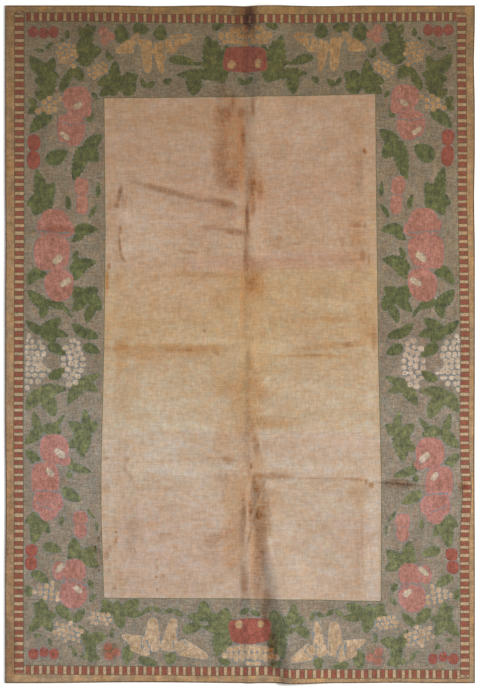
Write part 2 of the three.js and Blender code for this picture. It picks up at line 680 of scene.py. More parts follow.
# How the right half differs from a true mirror of the left. down is the height on the chart. A
# figure at across x on the left stands at sum less x on the right, and drop squares lower.
FAR_SIDE = """
down sum drop
20 481.5 -2
100 482 -2
143 482 -6
160 481 -4.5
186 480 0
205 478 -1
230 478 0
252 477.5 -3.5
270 480 -1.5
300 483 0
340 486 0
365 486.5 3
400 485 1.5
420 483 2.5
450 484.5 4
475 485 4
503 483 2.5
550 483 4
600 486 3.5
620 487.5 4
655 487 5
690 487 5
"""
# Towards the middle of an end the sum goes to that end's own: head, then foot.
CENTRE_SUMS = (490.0, 500.0)
CENTRE_DROPS = (-0.5, 2.0)
# Where that begins across the chart, and over how many squares.
CENTRE_FROM = (155.0, 68.0)

# The middle line of the guard stripe on each side, on the chart: places along the side, and how
# far across it lies there.
GUARD_LEFT = """
down across
5 19.4
60 19.4
230 19.2
340 18.9
450 18.3
560 18.7
684 19
"""
GUARD_RIGHT = """
down across
5 461.5
60 461.9
120 462.1
230 463.1
340 464.9
430 464.4
470 465.4
487 467.4
505 466.4
540 464.4
610 464.8
684 465
"""
GUARD_HEAD = """
across down
5 16.8
45 17
100 17
150 17.8
200 18.6
240 19.1
257 18.7
290 18.7
330 18.1
380 17.3
440 16.7
475 16.6
"""
GUARD_FOOT = """
across down
5 669.8
45 669.9
100 671
200 671.7
250 671.2
264 670.5
276 671.6
290 673
350 674
475 674.4
"""
# The edge of the plain field on each side, in the same way.
FIELD_LEFT = """
down across
98 104
235 105.3
344 104
470 101
520 101.2
600 104
"""
FIELD_RIGHT = """
down across
94 375.5
172 376.2
344 378.2
480 381.4
600 381
"""
FIELD_HEAD = """
across down
104 98
160 97.5
240 96.7
300 95.7
376 93.8
"""
FIELD_FOOT = """
across down
104 598.2
240 598.7
300 599.4
340 600.6
381 601.3
"""
GUARD_SIDES = (GUARD_LEFT, GUARD_RIGHT, GUARD_HEAD, GUARD_FOOT)
FIELD_SIDES = (FIELD_LEFT, FIELD_RIGHT, FIELD_HEAD, FIELD_FOOT)

# Half the guard stripe's width on the left, the right, at the head and at the foot, half its width
# as it is worked with, and the length of a red block with its cream one, in squares. Then the red
# one's share of that length.
GUARD_HALVES = (4.8, 4.6, 4.4, 4.5)
GUARD_HALF = 4.5
GUARD_PERIOD = 8.05
GUARD_RED_SHARE = 0.58

# How much red, green and blue the dirt and painted shade along a crease take.
CREASE_SOIL_AND_SHADE = (0.8, 1.1, 1.35)


class WearAndShade(Enum):
    """What age has done to the dyed wool at a place, and the painted shade and highlight laid on it: how
    much of its red, green and blue is left.
    """

    ROSE = (0.99, 0.91, 0.94)
    GOLD = (1.02, 1.00, 0.84)
    PEACH = (1.02, 0.82, 0.62)
    # Paler worn pile, and painted highlight along the crests of creases and folds.
    PALE_AND_HIGHLIGHT = (1.10, 1.18, 1.28)
    OCHRE = (0.90, 0.74, 0.56)
    # Rust-brown stains, and painted shade on the shaded slopes of the folds.
    RUST_AND_SHADE = (0.72, 0.54, 0.38)
    # Painted shade in creases and on the folds' shaded slopes, and a few dark dirt spots.
    SHADE_AND_DIRT = (0.62, 0.48, 0.36)
    # Greyer, duller wool, and painted grey shade on the shaded sides of folds and creases.
    DRAB_AND_SHADE = (0.84, 0.82, 0.80)


# Soft patches and streaks of wear and stains, with painted shade on the shaded sides of folds and
# creases and painted highlight along crease crests. strong is how much of it there is at the middle.
# turn is clockwise, in degrees, for the patches that don't lie level.
WEAR_AND_SHADE_PATCHES = {
    WearAndShade.ROSE: """
x y wide high strong turn
170 160 190 190 0.25
310 150 200 130 0.3
205 200 90 120 0.4
290 200 150 60 0.45 -10
306 260 150 26 1
175 290 150 80 0.5
150 440 100 70 -0.2
320 446 150 40 0.3
240 560 60 120 0.3
165 545 170 130 0.55
355 535 60 60 0.5
230 264 110 26 0.8
420 360 60 120 0.6
""",
    WearAndShade.GOLD: """
x y wide high strong turn
150 320 190 90 0.2
250 330 110 170 0.4
320 280 200 60 0.25
335 320 120 40 0.2
120 105 60 30 0.3
180 128 90 20 0.3
240 9 480 18 0.9
240 681 480 16 0.25
372 240 12 200 0.6
113 540 12 140 0.3
""",
    WearAndShade.PEACH: """
x y wide high strong turn
241 148 10 120 0.75
242 175 6 60 0.6
242 295 7 80 0.9
241 330 8 30 0.4
246 215 16 60 0.4
247 300 14 70 0.5
245 480 14 70 0.5
""",
    # Pale patches: worn pile, and painted highlight on crease and fold crests.
    WearAndShade.PALE_AND_HIGHLIGHT: """
x y wide high strong turn
320 500 150 200 0.15
180 520 140 160 0.2
310 568 70 50 0.35
340 430 80 90 0.35
298 130 60 50 1
150 228 60 76 0.4
159 450 44 34 0.35
109 400 16 420 0.5
371 400 16 200 0.55
372 550 20 200 0.9
285 625 9 90 0.7 -10
268 346 50 20 1.1
205 341 120 8 0.7
332 159 50 4 0.8
331 305 60 18 1.1
270 320 30 34 0.4
300 271 90 3 0.45
180 427 120 14 0.7
310 431 130 3 0.5
290 436 90 12 0.5
125 216 18 12 1.4 -36
128 249 18 22 1
135 222 34 10 0.5
241 220 9 9 1.3
126 278 10 12 0.9 40
170 470 110 20 0.9
315 466 110 14 0.7
264 492 5 24 0.4 -18
266 284 3 50 0.5 -31
256 366 18 4 0.5 42
267 380 14 6 1.5 -40
264 375 26 6 0.5
149 545 20 60 0.3
130 450 16 6 1.4 -55
165 405 120 20 0.4
310 395 100 30 0.4
150 376 100 6 0.4
70 450 90 170 0.45
205 165 20 70 0.3
184 214 70 8 0.3
280 254 160 6 0.45
286 180 40 70 0.2
165 221 110 4 0.35
150 225 110 130 0.35
160 425 120 130 0.4
252 56 24 18 0.35
157 292 60 30 0.5
150 150 80 60 0.3
274 556 4 80 0.4 -14
228 468 30 3 0.9 9
245 474 7 4 1.2
264 468 22 3 0.7 -8
""",
    WearAndShade.OCHRE: """
x y wide high strong turn
170 348 140 12 0.8
150 356 90 12 0.6
205 352 70 14 0.5
330 346 110 9 0.65 -4
315 356 100 7 0.8
121 348 22 26 0.9
160 321 90 8 0.4
130 325 36 12 0.7
320 320 80 9 0.6
107 281 7 34 1.4
119 370 8 30 0.6
124 400 16 36 0.25
247 400 46 90 0.9
276 422 60 20 0.8
224 388 26 26 0.65 40
221 440 22 50 0.5
107 342 10 60 0.5
366 325 24 50 0.6
220 302 24 22 0.6
232 285 22 60 0.5
255 288 26 36 0.95
208 275 110 8 0.5
240 440 50 40 0.5
234 500 34 70 0.8
234 545 30 80 0.8
355 150 26 110 0.3
300 300 110 90 0.15
358 490 26 40 0.6
195 120 90 40 0.35
132 147 24 50 0.25
150 162 60 8 0.4
290 143 60 8 0.3
357 236 26 66 0.5
251 560 5 80 0.6
230 144 44 120 0.9
256 187 26 54 0.8
256 345 34 130 0.3
258 525 30 130 0.8
355 240 40 200 0.25
256 470 26 44 0.7
256 275 34 60 0.4
277 500 16 30 0.6
46 482 34 40 0.4
""",
    # Rust patches: stains, and on the folds' shaded slopes painted shade.
    WearAndShade.RUST_AND_SHADE: """
x y wide high strong turn
243 137 6 28 1.05
253 107 6 28 0.9
253 187 9 22 0.7
260 189 8 26 0.7
253 208 7 22 0.8 4
246 258 8 56 0.8
364.5 151 5.5 10 1.2 -18
355 225 15 8 0.6 14
365 225 6 8 0.6
363 256 9 16 0.7
369 260 4 14 0.7
270 240 14 8 0.3
296 244 9 4 0.9
302 241 9 10 0.2
309 237 6 14 0.2 -20
316 241 9 8 0.2
323 238 6 14 0.4 20
342 241 10 14 0.4
190 252 26 5 0.6 4
208 250 8 6 0.5
141 263 12 4 0.4
120.5 230 6 11 0.9
119.6 244 4 26 0.8 -4
123.5 259 4 14 0.7 -38
109 206 14 14 0.3
109 266 4 9 1.3
255 270 22 24 0.5
252 284 14 20 0.5
273 322 12 26 0.25
204 331 5 5 0.9
217 353 7 6 0.5
182 350 50 5 0.4
315 355 30 3 0.4
348 345 14 8 0.85
374 338 8 34 0.7
249 357 7 14 0.3
250 366 5 14 0.5
263 396 24 20 0.25
252 427 6 14 0.5
228 460 18 10 0.6
215 458 30 4 0.3
107 458 9 4 0.9
127 459 10 5 0.5
125 467 3 14 0.6
131 476 9 4 0.4 20
276 476 56 9 0.7 2
320 478 60 4 0.35
352 479 30 4 0.75 4
366 482 4 8 1
371 485 8 8 1.1
222 478 24 14 0.5
107 489 12 14 0.6
160 488 100 10 0.25
170 508 50 10 0.3
244.5 518 6 38 0.8
250 508 6 20 1
258 560 14 90 0.25
244 580 10 34 0.8
116 540 3.6 13 1 14
116 532 4 4 0.9
106 555 8 14 0.8
110 548 4 8 0.4
110 563 4 8 0.4
108 545 5 30 0.3
109 571 3 6 0.8
157 568 5 5 0.5 20
156 577 5 4 1 20
157 590 4 4 0.8
157 560 4 6 0.7
163 576 8 4 0.6
115 588 5 6 0.6
165 535 24 8 0.4
218 536 40 14 0.5 -24
211 552 26 46 0.3
357 560 9 90 0.3
362 540 4 90 0.3
222 88 16 16 0.3
464 487 14 14 1.05
111 652 24 24 1
376 657 24 24 0.6
70 20 150 50 0.15
233 104 5 20 0.8
57 229 34 11 0.7
245 20 36 50 0.9
236 172 12 60 0.45
234 232 32 11 0.8 8
223 203 34 12 0.6 12
278.5 238 8 10 0.9
274 245 12 5 0.4
223 115 22 22 0.65
241 113 9 14 0.9
227 173 11 6 0.8
231 183 10 10 0.8
236 106 28 26 0.35
247 112 8 30 0.4
""",
    # Dark patches: mostly painted shade in the creases and on the folds, with a few dirt spots.
    WearAndShade.SHADE_AND_DIRT: """
x y wide high strong turn
249 14 14 44 1.35
225 100 28 48 0.4
221 160 20 84 0.5
231 182 18 26 0.35
252 180 14 60 0.5
168 191.5 90 8.5 0.75 15
119.6 194 6.5 28 0.9 15
116.6 205.5 7 7 0.9
256 445 10 30 0.8 -10
259 424 20 24 0.2
261 510 30 76 0.6
256 488 11 26 0.7 -14
243 518 10 60 0.4
259 515 9 14 0.85
258 570 16 90 0.55
250 588 24 40 0.4
266 610 14 60 0.8
272 650 14 60 1.25
400 484 60 4 0.7 4
98 560 11 30 0.4
91 553 8 16 0.5
10 390 16 40 0.25
10 440 16 60 0.35
10 490 16 60 0.35
10 560 18 160 0.25
10 650 18 100 0.5
10 170 18 160 0.15
212 228 30 10 0.2 5
220 203 50 12 0.45 12
246.8 217 4.6 38 1.1
251 466 3 8 0.9
251 509 4 12 0.5 10
398 484 42 14 0.7 4
386 335 34 26 0.3
95 548 3 8 1.3
98.5 539 3 8 1.1 20
101 533 2.5 6 1
99 571 3 5 1
96 569 7 3 0.7
100 552 2.5 10 0.7
""",
    # Drab patches: duller wool, and painted grey shade on folds and creases.
    WearAndShade.DRAB_AND_SHADE: """
x y wide high strong turn
132 538 16 60 0.8 8
60 480 70 20 0.6
435 484 60 20 0.6 4
70 25 140 40 0.5
440 60 60 80 0.6
320 310 130 170 0.2
359 170 12 60 0.9
362 272 20 16 0.5
320 540 140 150 0.15
116 592 26 16 0.6
366 534 34 34 0.3
120 125 30 40 0.3
10 650 18 100 0.8
10 560 18 160 0.5
""",
}

# The whole rug grows darker towards the head, partly as the dyes have paled with age towards the
# foot and partly as painted shade of the light falling off towards the head: how much of each
# primary the dyes give at a height on the chart, in the border and in the field.
BORDER_FADING_AND_SHADE = """
down red green blue
0 0.58 0.53 0.41
60 0.65 0.6 0.49
135 0.77 0.72 0.65
205 0.88 0.83 0.77
275 0.93 0.9 0.87
345 0.92 0.9 0.91
415 1.02 1.03 1.1
485 1.07 1.08 1.18
560 1.02 1.03 1.1
688 1 1.02 1.1
"""
FIELD_FADING_AND_SHADE = """
down red green blue
90 0.78 0.67 0.57
135 0.82 0.72 0.63
205 0.89 0.79 0.71
270.2 0.94 0.85 0.76
271 0.96 0.87 0.7
345 0.98 0.91 0.74
431.2 1 1 0.92
432 1 0.99 0.98
485 1.02 1.02 1.02
600 1 0.99 1.01
"""


def bell(share: np.ndarray) -> np.ndarray:
    """Gives 1 at no distance and 0 from 1 on, level at both: the squared cosine of a quarter turn."""
    return np.cos(np.clip(share, -1.0, 1.0) * (math.pi / 2)) ** 2


def turned(right: np.ndarray, down: np.ndarray, degrees: float) -> tuple[np.ndarray, np.ndarray]:
    """Turns ways on the chart clockwise by an angle."""
    cosine, sine = math.cos(math.radians(degrees)), math.sin(math.radians(degrees))
    return right * cosine - down * sine, right * sine + down * cosine


def measure(ends: tuple[float, ...], x: np.ndarray, y: np.ndarray) -> tuple[np.ndarray, ...]:
    """Measures places by a straight run.

    The share along it comes from the dot product with the run, held between its ends. The squares
    of the ways past an end and across add up to the squared distance.

    Args:
        ends: the run's start and end, as four coordinates.
        x: the places' first coordinate.
        y: their second.

    Returns:
        The share, the way past an end, the way off the line, the distance, and a side over 0 on the
        left of someone walking along.
    """
    start_x, start_y, end_x, end_y = ends
    run_x, run_y = end_x - start_x, end_y - start_y
    length = math.hypot(run_x, run_y)
    away_x, away_y = x - start_x, y - start_y
    share = (away_x * run_x + away_y * run_y) / length**2
    held = np.clip(share, 0.0, 1.0)
    distance = np.hypot(away_x - held * run_x, away_y - held * run_y)
    past = np.abs(share - held) * length
    across = np.sqrt(np.maximum(distance**2 - past**2, 0.0))
    return held, past, across, distance, run_x * away_y - run_y * away_x


@dataclass
class Lie:
    """How the cloth lies on the floor: its drawn-in edges, its folds and its sharp creases."""

    half_width: float
    half_length: float
    # How far a crease's ridge reaches against its band of dirt and painted shade, and how far past its
    # ends both fade, in squares.
    crease_reach: float = 1.5
    crease_fade: float = 5.0

    def drawn_in(self, edge: str, at: np.ndarray) -> np.ndarray:
        """Gives how far an edge is drawn in at places along it, as a sum of bells."""
        dips = np.array(rows(EDGE_DIPS[edge])) * MM
        return sum(depth * bell((at - place) / reach) for place, reach, depth in dips)

    def settle(self, x: np.ndarray, y: np.ndarray) -> tuple[np.ndarray, np.ndarray]:
        """Moves places of a plain rectangle to where the uneven cloth has them.

        An edge's dip counts in full at the edge itself, and by the eighth power of the share of the
        way out to it elsewhere.

        Args:
            x: places across the rectangle.
            y: places along it.

        Returns:
            The moved x and y.
        """
        out_x, out_y = x / self.half_width, y / self.half_length
        west, east = (np.maximum(way, 0.0) ** 8 for way in (-out_x, out_x))
        south, north = (np.maximum(way, 0.0) ** 8 for way in (-out_y, out_y))
        moved_x = x + west * self.drawn_in("west", y) - east * self.drawn_in("east", y)
        moved_y = y + south * self.drawn_in("south", x) - north * self.drawn_in("north", x)
        return moved_x, moved_y

    def fold_height(self, table: str, x: np.ndarray, y: np.ndarray) -> np.ndarray:
        """Gives how high one fold lifts the cloth.

        The nearest run between stations counts: its crest's height, times the bell of the distance
        across over the fold's breadth on that side, times the bell of the way past an end.

        Args:
            table: the fold's stations.
            x: places across the rug.
            y: places along it.

        Returns:
            The height at each place.
        """
        stations = np.array(rows(table)) * MM
        nearest = np.full(x.shape, np.inf)
        height = np.zeros(x.shape)
        for low, high in zip(stations, stations[1:]):
            held, past, across, distance, way = measure((*low[:2], *high[:2]), x, y)
            rise, left, right = (low[k] + (high[k] - low[k]) * held for k in (2, 3, 4))
            here = rise * bell(across / np.where(way > 0, left, right)) * bell(past / FOLD_FADE)
            height = np.where(distance < nearest, here, height)
            nearest = np.minimum(nearest, distance)
        return height

    def folds(self, x: np.ndarray, y: np.ndarray) -> np.ndarray:
        """Gives the height of the folds at places: where folds meet, the taller one shows."""
        return np.max([self.fold_height(table, x, y) for table in FOLDS.values()], axis=0)

    def creases(self, x: np.ndarray, y: np.ndarray) -> tuple[np.ndarray, np.ndarray]:
        """Gives the sharp creases' own height, and how much dirt and painted shade lie along them.

        Each is a ridge or trough with a bell across it and a bell past its ends.

        Args:
            x: places across the rug.
            y: places along it.

        Returns:
            The height in metres, and the dirt and painted shade from 0 to 1.
        """
        height, soil_and_shade = np.zeros(x.shape), np.zeros(x.shape)
        places = to_chart(x, y)
        for *ends, rise, broad, soil_shade in rows(CREASES):
            _, past, across, _, _ = measure(ends, *places)
            fade = bell(past / self.crease_fade)
            ridge = rise * MM * bell(across / (self.crease_reach * broad)) * fade
            height = np.where(np.abs(ridge) > np.abs(height), ridge, height)
            soil_and_shade = np.maximum(soil_and_shade, soil_shade * bell(across / broad) * fade)
        return height, soil_and_shade


def to_chart(x: np.ndarray, y: np.ndarray) -> tuple[np.ndarray, np.ndarray]:
    """Turns places on the rug, in metres, to squares across and down the chart."""
    return x / SQUARE + CHART_MIDDLE[0], CHART_MIDDLE[1] - y / SQUARE


def far_side(points: np.ndarray) -> np.ndarray:
    """Carries an outline of the left half over to the right half, uneven as the rug is.

    Args:
        points: places on the chart, a row each.

    Returns:
        The mirrored places, in the same form.
    """
    x, y = points.T
    down, sums, drops = np.array(rows(FAR_SIDE)).T
    share = np.clip((x - CENTRE_FROM[0]) / CENTRE_FROM[1], 0.0, 1.0)
    inward = share * share * (3 - 2 * share)
    half = int(y.mean() > CHART_MIDDLE[1])
    total = np.interp(y, down, sums) * (1 - inward) + CENTRE_SUMS[half] * inward
    drop = np.interp(y, down, drops) * (1 - inward) + CENTRE_DROPS[half] * inward
    return np.stack([total - x, y + drop], axis=1)


@dataclass
class Outliner:
    """Draws the closed outlines of the figures on the chart, each as a row of corners."""

    blade_steps: int = 17
    disc_steps: int = 26
    # How far a blade's teeth stand out, how far it may bend, and a disc's two wobbles, as shares.
    tooth: float = 0.17
    bend: float = 0.06
    wobbles: tuple[float, float] = (0.025, 0.02)
    # Berries, as shares of their pitch: from row to row, how far one strays, and its width. Then
    # how far out in the oval its middle may lie, and how boxy it is.
    berry_row: float = 0.93
    berry_stray: float = 0.1
    berry_wide: float = 0.98
    berry_out: float = 1.12
    berry_square: float = 2.2
    # Seeded, so that each run draws the same outlines.
    dice: np.random.Generator = field(default_factory=lambda: np.random.default_rng(11))

    def blade(self, base_x: float, base_y: float, tip_x: float, tip_y: float, broad: float) -> np.ndarray:
        """Draws a pointed, toothed leaf blade from its base to its tip, broad where it is widest.

        At a share t of the way to the tip the half width is 0.56 of broad times the sine of half a
        turn of t to the power 0.75, to the power 0.65. Every other place stands out as a tooth.

        Args:
            base_x: the base, across.
            base_y: the base, down.
            tip_x: the tip, across.
            tip_y: the tip, down.
            broad: the width at the widest.

        Returns:
            The outline.
        """
        length = math.dist((base_x, base_y), (tip_x, tip_y))
        steps = max(5, min(self.blade_steps, int(length / 1.3)))
        share = np.linspace(0.0, 1.0, steps)
        half = 0.56 * broad * np.sin(math.pi * share**0.75) ** 0.65
        tooth = 1 + self.tooth * np.where(np.arange(steps) % 2, 1.0, -1.0)
        bend = self.dice.uniform(-self.bend, self.bend) * length * np.sin(math.pi * share)
        return self.along((base_x, base_y), (tip_x, tip_y), half * tooth, bend)

    def pod(
        self, base_x: float, base_y: float, tip_x: float, tip_y: float, at_base: float, at_tip: float
    ) -> np.ndarray:
        """Draws a plump pod with blunt ends, of one width near its base and another near its tip.

        The width runs straight from one to the other, and both ends are rounded off by the fifth
        power of the share from the middle.

        Args:
            base_x: the base, across.
            base_y: the base, down.
            tip_x: the tip, across.
            tip_y: the tip, down.
            at_base: the width near the base.
            at_tip: the width near the tip.

        Returns:
            The outline.
        """
        share = np.linspace(0.0, 1.0, self.blade_steps)
        full = 0.5 * (at_base + (at_tip - at_base) * share)
        half = full * (1 - np.abs(2 * share - 1) ** 5) ** 0.4
        return self.along((base_x, base_y), (tip_x, tip_y), half, 0 * share)

    @staticmethod
    def along(
        base: tuple[float, float], tip: tuple[float, float], half: np.ndarray, bend: np.ndarray
    ) -> np.ndarray:
        """Lays half widths out on both sides of a bent line.

        Args:
            base: where the line starts.
            tip: where it ends.
            half: the half width at even steps along it.
            bend: how far the line swings to the side there.

        Returns:
            The closed outline: up one side, down the other.
        """
        run = np.array(tip) - np.array(base)
        aside = np.array([-run[1], run[0]]) / np.hypot(*run)
        share = np.linspace(0.0, 1.0, len(half))
        line = np.array(base) + share[:, None] * run + bend[:, None] * aside
        out, back = line + half[:, None] * aside, line - half[:, None] * aside
        return np.concatenate([out, back[-2:0:-1]])

    def disc(
        self, x: float, y: float, wide: float, high: float, turn: float = 0.0, square: float = 2.3
    ) -> np.ndarray:
        """Draws a rounded outline round a middle place, whose edge wobbles a little.

        It is a superellipse: cosine and sine of the way round, each to the power of 2 over square.

        Args:
            x: the middle, across.
            y: the middle, down.
            wide: its width.
            high: its height.
            turn: clockwise turn in degrees.
            square: 2 for an ellipse, more for a boxier shape.

        Returns:
            The outline.
        """
        way = np.linspace(0.0, 2 * math.pi, self.disc_steps, endpoint=False)
        lobes = self.dice.uniform(0.0, 2 * math.pi, 2)
        slow, fast = self.wobbles
        wobble = 1 + slow * np.sin(3 * way + lobes[0]) + fast * np.sin(5 * way + lobes[1])
        right, down = (
            np.sign(part) * np.abs(part) ** (2 / square) * size / 2 * wobble
            for part, size in ((np.cos(way), wide), (np.sin(way), high))
        )
        return np.stack(turned(right, down, turn), axis=1) + (x, y)

    def bunch(self, x: float, y: float, wide: float, high: float, turn: float, pitch: float) -> list:
        """Draws a bunch of berries: rows set off by half a pitch, kept where they fit a turned oval.

        Args:
            x: the oval's middle, across.
            y: the oval's middle, down.
            wide: its width.
            high: its height.
            turn: clockwise turn in degrees.
            pitch: from one berry to the next.

        Returns:
            One outline a berry.
        """
        reach_x, reach_y = max((wide - pitch) / 2, 0.1), max((high - pitch) / 2, 0.1)
        row_step = pitch * self.berry_row
        count, sideways = int(reach_y / row_step) + 1, int(reach_x / pitch) + 2
        drawn = []
        for row in range(-count, count + 1):
            for place in (np.arange(-sideways, sideways) + 0.5 * (row % 2)) * pitch:
                if (place / reach_x) ** 2 + (row * row_step / reach_y) ** 2 > self.berry_out:
                    continue
                jog_x, jog_y = self.dice.uniform(-self.berry_stray, self.berry_stray, 2) * pitch
                across, down = turned(place + jog_x, row * row_step + jog_y, turn)
                size = pitch * self.berry_wide
                drawn.append(self.disc(x + across, y + down, size, size, 0.0, self.berry_square))
        return drawn


@dataclass
class Lattice:
    """Places on the chart in even columns and lines."""

    across: np.ndarray
    down: np.ndarray

    def window(self, low: np.ndarray, high: np.ndarray) -> tuple[slice, slice]:
        """Gives the lines and columns between two corners."""
        columns = slice(*np.searchsorted(self.across, (low[0], high[0])))
        return slice(*np.searchsorted(self.down, (low[1], high[1]))), columns


@dataclass
class Chart(Lattice):
    """The figures on a lattice, as two fields.

    edge is the distance to the nearest outline in squares, over 0 inside a figure. dye is the
    linear colour of the figure that a place belongs to, or lies nearest to.
    """

    # In squares: the distance where no figure is near, how far round a figure it is worked out, and
    # half a drawn line's width.
    far: float = 7.0
    margin: float = 2.6
    line_half: float = 0.3

    def __post_init__(self) -> None:
        """Starts with an empty chart."""
        shape = (len(self.down), len(self.across))
        self.edge = np.full(shape, -self.far)
        self.dye = np.broadcast_to(linear(Dye.LEAF.value), (*shape, 4)).copy()

    def depth(self, outline: np.ndarray, place: tuple[slice, slice]) -> np.ndarray:
        """Measures how deep each place of a window lies inside a closed outline.

        The distance is that to the nearest of the outline's sides. A place is inside where a line
        to its right crosses the sides an odd number of times.

        Args:
            outline: the outline's corners.
            place: the window's rows and columns.

        Returns:
            The distance, less than 0 outside.
        """
        start_x, start_y = outline.T
        end_x, end_y = np.roll(outline, -1, axis=0).T
        x, y = self.across[place[1]][None, :, None], self.down[place[0]][:, None, None]
        run_x, run_y = end_x - start_x, end_y - start_y
        away_x, away_y = x - start_x, y - start_y
        share = np.clip((away_x * run_x + away_y * run_y) / (run_x**2 + run_y**2 + 1e-9), 0, 1)
        distance = np.hypot(away_x - share * run_x, away_y - share * run_y).min(axis=-1)
        spans = (start_y > y) != (end_y > y)
        ahead = (away_x * run_y < away_y * run_x) == (run_y > 0)
        inside = (spans & ahead).sum(axis=-1) % 2 == 1
        return np.where(inside, distance, -distance)

    def lay(self, outline: np.ndarray, dye: Dye, joined: bool) -> None:
        """Lays an outline over what is there.

        Args:
            outline: the outline's corners.
            dye: its wool.
            joined: whether it grows together with the figure under it, where the greater depth
                counts and no seam shows. If not, its edge is an edge of what it covers too.
        """
        place = self.window(outline.min(axis=0) - self.margin, outline.max(axis=0) + self.margin)
        new = self.depth(outline, place)
        under = self.edge[place] if joined else np.minimum(self.edge[place], -new)
        wins = new > under if joined else new >= under
        self.dye[place] = np.where(wins[..., None], linear(dye.value), self.dye[place])
        self.edge[place] = np.maximum(new, under)

    def draw(self, ends: np.ndarray) -> None:
        """Draws a line: no place is further from an outline than from it.

        Args:
            ends: the two places that it joins, a row each.
        """
        place = self.window(ends.min(axis=0) - self.margin, ends.max(axis=0) + self.margin)
        x, y = self.across[place[1]][None, :], self.down[place[0]][:, None]
        distance = measure(tuple(ends.ravel()), x, y)[3]
        old = self.edge[place]
        inside = np.minimum(old, distance - self.line_half)
        self.edge[place] = np.where(old > 0, inside, np.maximum(old, -distance))


